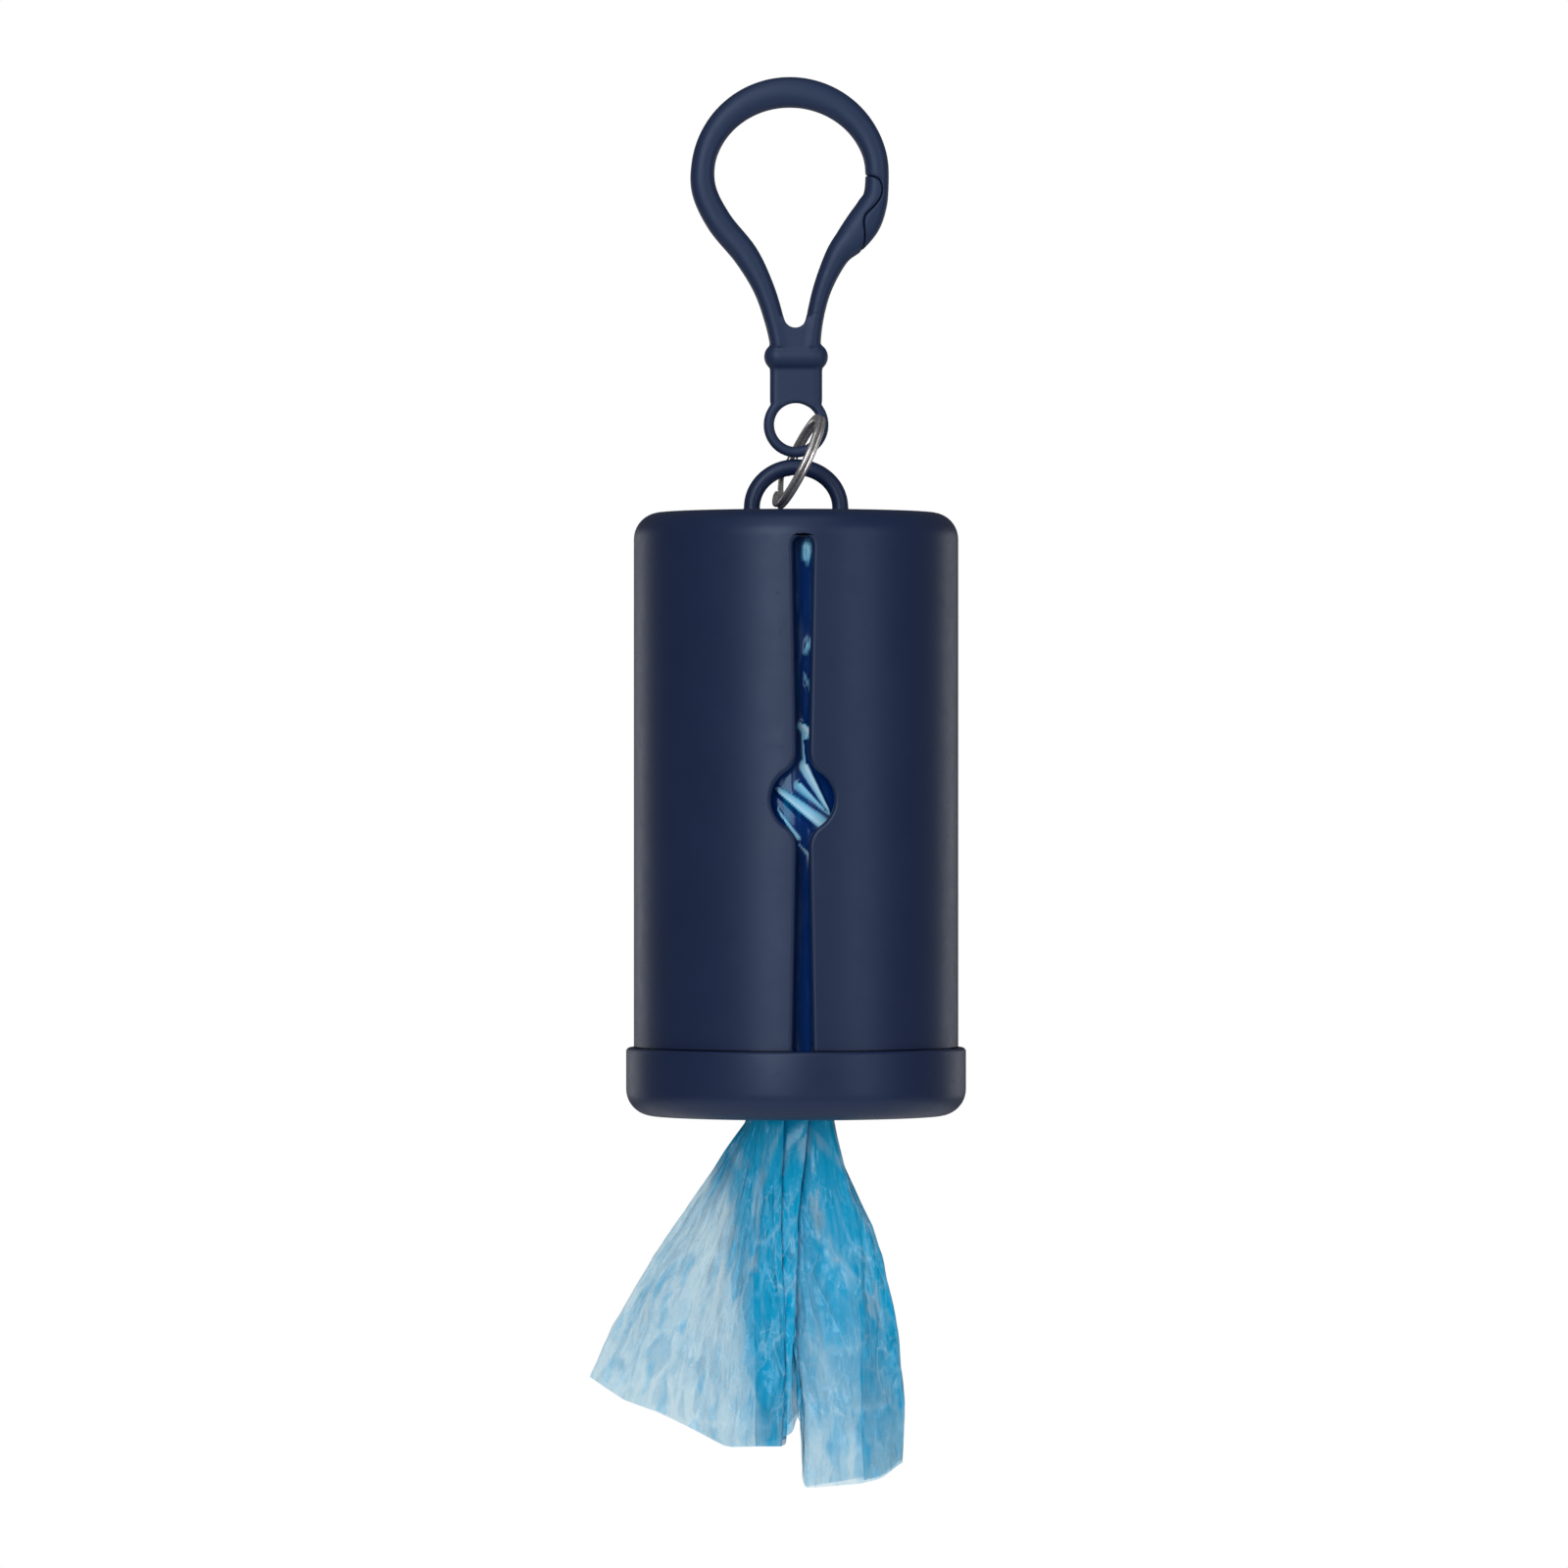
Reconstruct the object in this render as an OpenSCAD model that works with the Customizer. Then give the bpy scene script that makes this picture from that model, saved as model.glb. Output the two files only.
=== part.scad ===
// Dog poop bag dispenser: a capped plastic cylinder for a roll of bags, which hangs from a
// moulded clip by a small split ring. Millimetres, +Z up, the front with the slot towards -Y.
// The origin is the inside top of the clip's hook, in line with its strap, where a leash bears.

/* [Housing] */
// Outer diameter of the housing
body_d = 40; // [33:0.5:48]
// Height from the housing's top face to the rim of the cap
body_h = 65.9; // [54.9:0.5:80]
// Thickness of the housing's side wall
body_wall = 2; // [1.6:0.1:2.3]
// Thickness of the housing's top
top_t = 2.2; // [1.6:0.1:3]
// Radius of the housing's top edge and the cap's bottom edge
edge_r = 3.3; // [2.5:0.1:4]
// Wall of the threaded neck under the cap's skirt
neck_wall = 1.05; // [0.8:0.05:1.2]
// Length of the threaded neck
neck_l = 6.2; // [5:0.1:6.4]

/* [Slot] */
// Diameter of the round finger hole in the front
finger_hole_d = 7.74; // [7:0.1:9]
// Height of the finger hole's centre above the cap's rim
finger_hole_h = 30.6; // [26:0.5:34]
// Width of the slot at its narrowest, beside the finger hole
slot_min_w = 1.5; // [1.2:0.1:2]
// Width of the slot at its ends
slot_end_w = 2.4; // [2.1:0.1:3]
// Radius of the flare that leads from the slot into the finger hole
flare_r = 3; // [2:0.1:3.5]

/* [Cap] */
// Step by which the cap stands proud of the housing
cap_step = 0.95; // [0.6:0.05:1.4]
// Height of the cap
cap_h = 8.4; // [8:0.1:11]
// Wall of the cap's skirt
cap_wall = 1.5; // [1.2:0.05:1.6]
// Thickness of the cap's floor
cap_floor = 1.8; // [1.4:0.1:2]
// Diameter of the hole that the bags come out of
cap_hole_d = 13; // [12:0.5:18]
// Gap between the cap's rim and the housing's shoulder
rim_gap = 0.15; // [0.1:0.05:0.3]

/* [Clip] */
// Drop from the hook's inside top to the centre of the eye
eye_drop = 39.1; // [38.5:0.1:46]
// Outer width of the hook's loop
hook_w = 24.5; // [23:0.5:28]
// Thickness of the hook's side at its widest
hook_side_t = 2.9; // [2.5:0.1:3.2]
// Thickness of the hook's top, where the leash bears
hook_top_t = 3.8; // [3.2:0.1:4.4]
// Front-to-back thickness of the hook
hook_depth = 3.3; // [3:0.1:4]
// Clearance along the split between the gate and the nose
seam_gap = 0.12; // [0.1:0.01:0.2]
// Diameter of the gate's rounded root
root_d = 2.5; // [2.4:0.05:2.7]
// Clearance round the gate's root
root_gap = 0.08; // [0.05:0.01:0.1]
// Width of the collar bead
collar_w = 7.9; // [7:0.1:9]
// Thickness of the collar bead
collar_t = 3.5; // [3.3:0.1:4]
// Width of the strap below the collar
strap_w = 6.45; // [5.8:0.05:6.8]
// Front-to-back thickness of the strap and the eye
strap_t = 2; // [1.8:0.1:2.1]

/* [Eye, ring and arch] */
// Diameter of the hole in the clip's eye
eye_hole_d = 5.44; // [5.4:0.02:6]
// Radial wall of the eye
eye_wall = 1.28; // [1:0.02:1.5]
// Gap between the eye and the arch under it
link_gap = 0.2; // [0.15:0.05:0.6]
// Outer diameter of the split ring
ring_d = 12.6; // [12.4:0.1:15.5]
// Radial width of the ring's wire
wire_w = 1; // [0.8:0.05:1]
// Axial thickness of one turn of the ring's wire
wire_t = 0.54; // [0.4:0.02:0.56]
// Gap between the ring's two turns
turn_gap = 0.08; // [0.05:0.01:0.1]
// Least gap between the ring's lower end and the housing's top face
ring_rest_gap = 0.22; // [0.15:0.01:0.5]
// Diameter of the arch's rod
arch_rod = 2; // [1.6:0.05:2.05]
// Span of the arch's centre line
arch_span = 10.5; // [10:0.1:12]
// Rise of the arch's centre line above its legs
arch_rise = 3.65; // [3.3:0.05:3.8]

/* [Bags] */
// Clearance between the full roll and the housing's wall
roll_play = 2; // [1.2:0.1:5]
// Headroom between the roll and the inside of the housing's top
roll_headroom = 3.2; // [0.5:0.1:8]
// Bore of the card core
core_id = 11; // [9:0.5:12]
// Wall of the card core
core_wall = 1; // [0.6:0.1:1.4]
// Thickness of the loose film between the roll and the cap's hole
feed_t = 0.5; // [0.3:0.05:0.6]
// Angle that the loose film covers along the front of the roll
feed_angle = 76; // [50:2:110]
// Diameter of the gathered film in the cap's hole
gather_d = 9.6; // [8:0.2:10.4]
// Length of the bag that hangs below the cap
tail_l = 45.6; // [30:0.5:80]
// Gap between soft film and its neighbours
soft_gap = 0.3; // [0.3:0.05:0.4]

/* [Hidden] */
$fn = 96;
navy = [0.17, 0.2, 0.32];
clip_navy = [0.22, 0.26, 0.38];
film_blue = [0.12, 0.5, 0.75];

// Heights, from the hook down
eye_r = eye_hole_d / 2 + eye_wall;
eye_z = -eye_drop;
crown_z = eye_z - eye_r - link_gap - arch_rod / 2;
spring_z = crown_z - arch_rise;

// The ring's mean circle crosses the plane y = 0 twice: in the eye's hole, and under the arch at
// the far end of a chord that leans to the left. Half the angle of that chord sets how the wire
// slants through both holes, so a larger ring crosses lower down.
wire_h = 2 * wire_t + turn_gap;
ring_r = (ring_d - wire_w) / 2;
eye_pass = [1.6, 0, eye_z - 0.49];
ring_lean = 25.27;
ring_yaw = 7.3;
chord_angle = 48.7;
ring_u = [sin(ring_lean), 0, cos(ring_lean)];
ring_side = [ring_u[2], 0, -ring_u[0]];
ring_v = [0, -cos(ring_yaw), 0] + sin(ring_yaw) * ring_side;
ring_axis = cross(ring_u, ring_v);
ring_c = eye_pass - ring_r * sin(chord_angle) * ring_u + ring_r * cos(chord_angle) * ring_v;
ring_low_z = ring_c[2] - ring_d / 2 * ring_u[2] - wire_h / 2 * abs(ring_axis[2]);

// The housing hangs so that its top face clears the ring's lower end
top_z = ring_low_z - ring_rest_gap;
rim_z = top_z - body_h;
shoulder_z = rim_z + rim_gap;
cap_bottom_z = rim_z - cap_h;
floor_z = cap_bottom_z + cap_floor;
neck_end_z = shoulder_z - neck_l;
bore_r = body_d / 2 - body_wall;
cap_r = body_d / 2 + cap_step;

// Slot outline, measured up or down from the finger hole's centre
hole_z = rim_z + finger_hole_h;
hole_r = finger_hole_d / 2;
throat = slot_min_w / 2;
flare_end = sqrt((hole_r + flare_r) ^ 2 - (throat + flare_r) ^ 2);
flare_start = flare_end * hole_r / (hole_r + flare_r);
slot_up = top_z - edge_r - slot_end_w / 2 - hole_z;
slot_down = hole_z - neck_end_z + 1;

// Bags, from the cap's floor up
film_z = floor_z + soft_gap;
roll_z = film_z + feed_t + soft_gap;
roll_r = bore_r - roll_play;
roll_l = top_z - top_t - roll_headroom - roll_z;
feed_r = roll_r + soft_gap + feed_t;
tail_top_z = cap_bottom_z - soft_gap;

// Loop of the hook: a circle outside, an ellipse inside
loop_x = -0.75;
loop_r = hook_w / 2;
loop_in_x = loop_r - hook_side_t;
loop_in_z = loop_r - hook_top_t;
loop_z = -loop_in_z;
web_z = eye_z + 9.6;
collar_z = eye_z + 8.4;
strap_end_z = eye_z + 2.2;

// Arms below the loop: [x as a share of the loop's radius, height as a share of the way from the
// loop's centre down to the web, half width]. The outermost rows only set the direction.
left_arm = [[-0.15, 1.2, 1.2], [-0.163, 1, 1.2], [-0.229, 0.824, 1.22], [-0.335, 0.644, 1.33],
            [-0.51, 0.458, 1.58], [-0.767, 0.273, 1.62], [-0.922, 0.093, 1.55]];
right_arm = [[0.808, 0.093, 1.5], [0.76, 0.183, 1.85], [0.678, 0.273, 2.1], [0.555, 0.368, 1.95],
             [0.416, 0.463, 1.5], [0.273, 0.644, 1.17], [0.192, 0.824, 1.08], [0.147, 1, 1.2],
             [0.13, 1.2, 1.2]];
arm_drop = loop_z - web_z;
root_share = [0.224, 0.748];

// Split between the nose and the gate, from inside the loop to outside, in the arms' shares
seam = [[0.5, -0.06], [0.6, -0.02], [0.705, -0.002], [0.774, 0.01], [0.818, 0.028], [0.843, 0.08],
        [0.814, 0.135], [0.745, 0.183], [0.675, 0.224], [0.656, 0.268], [0.665, 0.325],
        [0.669, 0.378], [0.656, 0.42], [0.64, 0.5], [0.62, 0.58]];
// Back of the gate's space: outside the arm, across its root, and up the open loop
gate_back = [[0.5, 0.748], [0.224, 0.78], [0.08, 0.748], [0.1, 0.58], [0.2, 0.42], [0.42, 0.2],
             [0.48, 0]];

// A curve through a list of points, where the first and last only set the direction
function between(a, b, c, d, t) =
    (2 * b + (c - a) * t + (2 * a - 5 * b + 4 * c - d) * t ^ 2
     + (3 * b - a - 3 * c + d) * t ^ 3) / 2;
function through(p, n) =
    [for (i = [1:len(p) - 3], k = [0:n - 1]) between(p[i - 1], p[i], p[i + 1], p[i + 2], k / n),
     p[len(p) - 2]];
function along(p, i) = p[min(i + 1, len(p) - 1)] - p[max(i - 1, 0)];
function unit(v) = v / norm(v);
// Points moved sideways, to the left of the way they run
function sideways(p, d) =
    [for (i = [0:len(p) - 1]) let (t = unit(along(p, i))) p[i] + d * [-t[1], t[0]]];
function power(v, e) = sign(v) * abs(v) ^ e;
function spot(row) = [row[0] * loop_r, loop_z - row[1] * arm_drop];
function arm_row(row) = [spot(row)[0], spot(row)[1], row[2]];

// Joins rings of points, all of one length, into a closed solid
module skin(rings) {
    n = len(rings[0]);
    last = len(rings) - 1;
    sides = [for (i = [0:last - 1], j = [0:n - 1])
             let (a = i * n + j, b = i * n + (j + 1) % n) each [[a, b, b + n], [a, b + n, a + n]]];
    polyhedron(points = [for (ring = rings) each ring],
               faces = concat(sides, [[for (j = [n - 1:-1:0]) j]],
                              [[for (j = [0:n - 1]) last * n + j]]));
}

module round_rect(w, h, r) {
    square([w - 2 * r, h], center = true);
    square([w, h - 2 * r], center = true);
    for (x = [-1, 1], y = [-1, 1])
        translate([x * (w / 2 - r), y * (h / 2 - r)]) circle(r, $fn = 32);
}

// Half section of a round body from z = low to z = high, with its top edge rounded
module half_section(r, low, high, corner) {
    translate([0, low]) square([r, high - low - corner]);
    translate([0, low]) square([r - corner, high - low]);
    translate([r - corner, high - corner]) circle(corner);
}

// ---- Housing ----

function slot_half(d) =
    d < flare_start ? sqrt(hole_r ^ 2 - d ^ 2)
    : d < flare_end ? throat + flare_r - sqrt(flare_r ^ 2 - (flare_end - d) ^ 2)
    : throat + (slot_end_w / 2 - throat) * min(1, (d - flare_end) / (slot_up - flare_end));

// Depths at which the outline is drawn: close together round the hole and its flares
function slot_steps(far) = concat([for (i = [1:8]) flare_start * sin(90 * i / 8)],
                                  [for (i = [1:6]) flare_start + (flare_end - flare_start) * i / 6],
                                  [far]);

module slot_outline() {
    up = slot_steps(slot_up);
    down = slot_steps(slot_down);
    right = concat([for (i = [len(down) - 1:-1:0]) [slot_half(down[i]), -down[i]]],
                   [[hole_r, 0]], [for (d = up) [slot_half(d), d]]);
    left = [for (i = [len(right) - 1:-1:0]) [-right[i][0], right[i][1]]];
    polygon(concat(right, left));
    translate([0, slot_up]) circle(slot_end_w / 2, $fn = 32);
}

// Loop moulded on the top face: a flattened half ring whose legs widen into the face
module arch() {
    leg = spring_z - top_z;
    sunk = top_t / 2;
    foot_flare = 0.6;
    half = arch_span / 2;
    legs = [for (i = [0:4]) let (t = i / 5) [half, -sunk - leg + (leg + sunk) * t,
                                             arch_rod / 2 + foot_flare * (1 - t) ^ 2]];
    line = concat(legs,
                  [for (a = [0:9:180]) [half * cos(a), arch_rise * sin(a), arch_rod / 2]],
                  [for (i = [4:-1:0]) [-legs[i][0], legs[i][1], legs[i][2]]]);
    skin([for (i = [0:len(line) - 1])
          let (t = unit(along(line, i)), p = line[i])
          [for (j = [0:15]) let (a = j * 22.5)
           [p[0] + p[2] * cos(a) * t[1], p[2] * sin(a), spring_z + p[1] - p[2] * cos(a) * t[0]]]]);
}

module housing() color(navy) {
    difference() {
        rotate_extrude() difference() {
            union() {
                half_section(body_d / 2, shoulder_z, top_z, edge_r);
                translate([0, neck_end_z]) square([bore_r + neck_wall, body_h]);
            }
            half_section(bore_r, neck_end_z - 1, top_z - top_t, edge_r - body_wall);
        }
        translate([0, 0, hole_z]) rotate([90, 0, 0])
            linear_extrude(body_d) slot_outline();
    }
    arch();
}

// ---- Cap ----

module end_cap() color(navy) {
    lip = cap_floor / 2;
    rim_round = 0.5;
    rotate_extrude() difference() {
        union() {
            difference() {
                mirror([0, 1]) half_section(cap_r, -rim_z + rim_round, -cap_bottom_z, edge_r);
                translate([0, cap_bottom_z - 1]) square([cap_hole_d / 2 + lip, cap_h]);
            }
            translate([cap_r - cap_wall, floor_z])
                square([cap_wall - rim_round, cap_h - cap_floor]);
            translate([cap_r - rim_round, rim_z - rim_round]) circle(rim_round, $fn = 32);
            translate([cap_hole_d / 2 + lip, cap_bottom_z + lip]) circle(lip, $fn = 32);
        }
        translate([0, floor_z]) square([cap_r - cap_wall, cap_h]);
    }
}

// ---- Clip ----

// Rows [x, z, half width] from the web up the left arm, over the loop and down the right arm
function hook_line() = through(concat(
    [for (row = left_arm) arm_row(row)],
    [for (a = [172:-18:10])
     let (out = [loop_r * cos(a), loop_r * sin(a)], in = [loop_in_x * cos(a), loop_in_z * sin(a)])
     [loop_x + (out[0] + in[0]) / 2, loop_z + (out[1] + in[1]) / 2, norm(out - in) / 2]],
    [for (row = right_arm) arm_row(row)]), 3);

module hook_sweep() {
    line = hook_line();
    skin([for (i = [0:len(line) - 1])
          let (d = along(line, i), t = unit([d[0], d[1]]), p = line[i])
          [for (j = [0:15])
           let (a = j * 22.5, w = p[2] * power(cos(a), 0.85), y = hook_depth / 2 * power(sin(a), 0.85))
           [p[0] - w * t[1], y, p[1] + w * t[0]]]]);
}

// Everything of the sweep that belongs to the gate, grown by gap for the body's side of the split
module gate_space(gap, root_play) {
    depth = 3 * hook_depth;
    line = sideways(through([for (p = seam) spot(p)], 4), gap);
    rotate([90, 0, 0]) translate([0, 0, -depth / 2]) {
        linear_extrude(depth) polygon(concat(line, [for (p = gate_back) spot(p)]));
        translate(spot(root_share)) cylinder(r = root_d / 2 + root_play, h = depth);
    }
}

module web() {
    half = 1.9;
    crotch_r = 0.8;
    crotch_z = web_z + 1.6;
    difference() {
        translate([-half, -hook_depth / 2 + 0.15, collar_z])
            cube([2 * half - 0.2, hook_depth - 0.3, crotch_z - collar_z]);
        translate([0, hook_depth, crotch_z + 0.35]) rotate([90, 0, 0])
            cylinder(r = crotch_r, h = 2 * hook_depth);
    }
}

module collar() {
    half = (collar_w - collar_t) / 2;
    translate([0, 0, collar_z]) {
        translate([-half, 0, 0]) rotate([0, 90, 0]) cylinder(d = collar_t, h = 2 * half);
        for (x = [-half, half]) translate([x, 0, 0]) sphere(d = collar_t);
    }
}

module strap_and_eye() {
    corner = strap_t * 0.4;
    difference() {
        translate([0, 0, strap_end_z]) linear_extrude(collar_z - strap_end_z)
            round_rect(strap_w, strap_t, corner);
        translate([0, strap_t, eye_z]) rotate([90, 0, 0])
            cylinder(r = eye_hole_d / 2 + eye_wall / 2, h = 2 * strap_t);
    }
    translate([0, 0, eye_z]) rotate([90, 0, 0]) rotate_extrude()
        translate([eye_r - eye_wall / 2, 0]) round_rect(eye_wall, strap_t, eye_wall * 0.42);
}

module clip_body() color(clip_navy) {
    difference() {
        hook_sweep();
        gate_space(seam_gap, root_gap);
    }
    web();
    collar();
    strap_and_eye();
}

module clip_gate() color(clip_navy) intersection() {
    hook_sweep();
    gate_space(0, 0);
}

// ---- Split ring ----

// Axial place of the wire at an angle: the first turn, a short crossover, then the second
function turn_offset(a, start, end) =
    (wire_t + turn_gap) * (a < start ? -0.5 : a > end ? 0.5 : (a - start) / (end - start) - 0.5);

module split_ring() color("silver") {
    first = 212;
    cross_start = 335;
    cross_end = 362;
    bevel = wire_t * 0.28;
    w = wire_w / 2;
    h = wire_t / 2;
    outline = [[w, h - bevel], [w - bevel, h], [bevel - w, h], [-w, h - bevel],
               [-w, bevel - h], [bevel - w, -h], [w - bevel, -h], [w, bevel - h]];
    skin([for (i = [0:76])
          let (a = 4 + i * 9, turn = first + a, axial = turn_offset(a, cross_start, cross_end),
               out = cos(turn) * ring_u + sin(turn) * ring_v)
          [for (p = outline) ring_c + (ring_r + p[0]) * out + (axial + p[1]) * ring_axis]]);
}

// ---- Bags ----

module bag_roll() color(film_blue) {
    inner = core_id / 2 + core_wall + 0.05;
    translate([0, 0, roll_z + roll_l / 2]) rotate_extrude()
        translate([(roll_r + inner) / 2, 0]) round_rect(roll_r - inner, roll_l, 0.8);
}

module roll_core() color("tan") translate([0, 0, roll_z + 0.5]) difference() {
    cylinder(d = core_id + 2 * core_wall, h = roll_l - 1);
    translate([0, 0, -1]) cylinder(d = core_id, h = roll_l + 1);
}

// Film that leaves the roll at the slot, runs down its front and under it to the cap's hole
module bag_feed() color(film_blue) {
    lap = 0.1;
    half = feed_angle / 2;
    out = feed_r * [sin(half), -cos(half)];
    rotate([0, 0, -90 - half]) rotate_extrude(angle = feed_angle)
        translate([feed_r - feed_t, film_z]) square([feed_t, roll_l + feed_t]);
    translate([0, 0, film_z]) intersection() {
        linear_extrude(feed_t) polygon([[-gather_d / 2 + 1, 0], [-out[0], out[1]], [-out[0], -body_d],
                                        [out[0], -body_d], out, [gather_d / 2 - 1, 0]]);
        cylinder(r = feed_r - lap, h = 2 * feed_t);
    }
    translate([0, 0, cap_bottom_z]) cylinder(d = gather_d, h = film_z + feed_t - cap_bottom_z);
}

// Hanging bag: [share of the length, middle, half width, half depth], swung to one side
tail_rows = [[0, -0.5, 5.4, 4.4], [0.09, -1.5, 7.2, 5], [0.18, -2.1, 9.2, 5.4],
             [0.3, -2.7, 12.4, 5.6], [0.42, -3.6, 14.9, 5.6], [0.54, -4.7, 17, 5.4],
             [0.64, -5.7, 19, 5], [0.7, -6, 19.7, 4.6], [0.77, -3.6, 17.5, 4], [0.83, 0.8, 13, 3.4],
             [0.9, 2.5, 11, 2.8], [0.96, 5.2, 8, 2.2], [1, 5.6, 6, 1.6]];

module bag_tail() color(film_blue)
    skin([for (row = tail_rows)
          [for (j = [0:23]) let (a = -j * 15)
           [row[1] + row[2] * power(cos(a), 0.8), row[3] * power(sin(a), 0.8),
            tail_top_z - tail_l * row[0]]]]);

housing();
end_cap();
clip_body();
clip_gate();
split_ring();
bag_roll();
roll_core();
bag_feed();
bag_tail();
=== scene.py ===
# %% [markdown]
# # Dog poop bag dispenser
# The packed model gives the frame: where each part is, how big it is and what it moves with. This
# lesson builds the looks round it. Sizes are written in millimetres, as in the part's own drawing,
# and turned into Blender's metres in one place, `MM`.

# %% Load the frame
import math

import bmesh
import bpy
import numpy as np
from mathutils import Matrix, Vector
from mathutils.geometry import delaunay_2d_cdt


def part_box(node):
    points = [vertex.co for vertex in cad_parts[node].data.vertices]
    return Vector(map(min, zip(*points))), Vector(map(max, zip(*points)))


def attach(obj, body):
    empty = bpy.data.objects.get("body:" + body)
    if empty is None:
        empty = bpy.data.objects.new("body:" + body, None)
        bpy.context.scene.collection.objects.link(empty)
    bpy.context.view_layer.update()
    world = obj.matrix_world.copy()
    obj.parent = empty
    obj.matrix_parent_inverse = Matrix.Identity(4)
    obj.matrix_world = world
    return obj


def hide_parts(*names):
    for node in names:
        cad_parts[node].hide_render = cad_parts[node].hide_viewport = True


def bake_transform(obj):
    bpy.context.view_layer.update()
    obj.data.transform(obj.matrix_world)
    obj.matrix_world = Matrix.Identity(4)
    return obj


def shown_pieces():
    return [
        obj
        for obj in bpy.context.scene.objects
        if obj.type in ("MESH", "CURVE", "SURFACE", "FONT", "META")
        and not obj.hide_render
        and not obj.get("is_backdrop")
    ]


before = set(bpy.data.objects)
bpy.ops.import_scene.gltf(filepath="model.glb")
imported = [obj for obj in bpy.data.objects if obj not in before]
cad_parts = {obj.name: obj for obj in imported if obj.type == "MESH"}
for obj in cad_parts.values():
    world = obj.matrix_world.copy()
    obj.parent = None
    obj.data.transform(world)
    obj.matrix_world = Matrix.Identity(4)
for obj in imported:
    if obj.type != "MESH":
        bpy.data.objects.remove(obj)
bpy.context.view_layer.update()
MM = 0.001


# %% Adding to the scene
def added(name, data):
    """A new object in the scene."""
    made = bpy.data.objects.new(name, data)
    bpy.context.scene.collection.objects.link(made)
    return made


# %% Sizes read from the frame
def low(node, axis):
    """Lowest x, y or z (0, 1, 2) of a packed part, in millimetres."""
    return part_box(node)[0][axis] / MM


def high(node, axis):
    """Highest x, y or z of a packed part, in millimetres."""
    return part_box(node)[1][axis] / MM


body_r = high("housing", 0)
neck_end_z = low("housing", 2)
cap_r = high("end_cap", 0)
rim_z = high("end_cap", 2)
cap_bottom_z = low("end_cap", 2)
hem_z = low("bag_tail", 2)
roll_r = high("bag_roll", 0)
roll_z = low("bag_roll", 2)
roll_top_z = high("bag_roll", 2)
print(f"housing radius {body_r:.2f}, cap rim at {rim_z:.2f}, hem at {hem_z:.2f} mm")

# %% [markdown]
# ## Camera
# The photograph is a studio shot from far away, level with the middle of the housing. A long lens
# on a distant camera gives the same flat perspective. A place on the photograph can then be read
# as a place in front of the object's axis, which `spot` does.

# %% Camera
camera_distance = 1150.0
camera_height = -83.35
camera_turn = math.radians(-2.3)
photo_side = 1600
photo_focal = 9520
photo_axis_x = 812.3
right_way = Vector((math.cos(camera_turn), math.sin(camera_turn), 0))
view_way = Vector((-math.sin(camera_turn), math.cos(camera_turn), 0))
side_step = (photo_side / 2 - photo_axis_x) / photo_focal * camera_distance
camera_data = bpy.data.cameras.new("camera")
camera_data.sensor_width = 36
camera_data.lens = photo_focal / photo_side * camera_data.sensor_width
camera = added("camera", camera_data)
camera_place = right_way * side_step - view_way * camera_distance + Vector((0, 0, camera_height))
camera.location = camera_place * MM
camera.rotation_euler = (math.radians(90), 0, camera_turn)
bpy.context.scene.camera = camera
bpy.context.scene.view_settings.view_transform = "Standard"


def spot(x, y):
    """A pixel of the photograph as (x, z) in millimetres, on the plane of the object's axis."""
    scale = camera_distance / photo_focal
    return (x - photo_axis_x) * scale, camera_height - (y - photo_side / 2) * scale


print(f"lens {camera_data.lens:.1f} mm; middle of the picture is {spot(800, 800)}")

# %% [markdown]
# ## Shader maths as Python
# A node tree is easier to read as an expression than as a pile of links. `Term` wraps one socket,
# and its operators add Math nodes, so `1 - mask * 0.5` makes two nodes. `Tree` wraps any node
# tree, and its `node` method adds a node. `Finish` is the tree of one material.


# %% Term
class Term:
    """One output socket of a tree, which can stand in an expression."""

    def __init__(self, tree, socket):
        self.tree = tree
        self.socket = socket

    def math(self, operation, *values):
        """A Math node whose inputs are these values or terms."""
        sockets = dict(enumerate(values))
        return Tree(self.tree).node("ShaderNodeMath", {"operation": operation}, sockets)

    def __add__(self, other):
        return self.math("ADD", self, other)

    def __sub__(self, other):
        return self.math("SUBTRACT", self, other)

    def __rsub__(self, other):
        return self.math("SUBTRACT", other, self)

    def __mul__(self, other):
        return self.math("MULTIPLY", self, other)

    def __truediv__(self, other):
        return self.math("DIVIDE", self, other)

    def __gt__(self, other):
        return self.math("GREATER_THAN", self, other)

    __radd__ = __add__
    __rmul__ = __mul__

    def clamped(self, bottom=0.0, top=1.0):
        """The term kept between two numbers."""
        return self.math("MINIMUM", self.math("MAXIMUM", self, bottom), top)


class Tree:
    """A node tree of a material, of the world or of Geometry Nodes."""

    def __init__(self, tree):
        self.tree = tree

    def node(self, kind, settings=None, sockets=None, out=0):
        """Adds a node: its settings first, then the values or terms of its sockets."""
        made = self.tree.nodes.new(kind)
        for key, value in (settings or {}).items():
            setattr(made, key, value)
        for key, value in (sockets or {}).items():
            if isinstance(value, Term):
                self.tree.links.new(value.socket, made.inputs[key])
            else:
                made.inputs[key].default_value = value
        return Term(self.tree, made.outputs[out] if made.outputs else None)


print("a term's operators:", [name for name in vars(Term) if name.startswith("__")])


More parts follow.
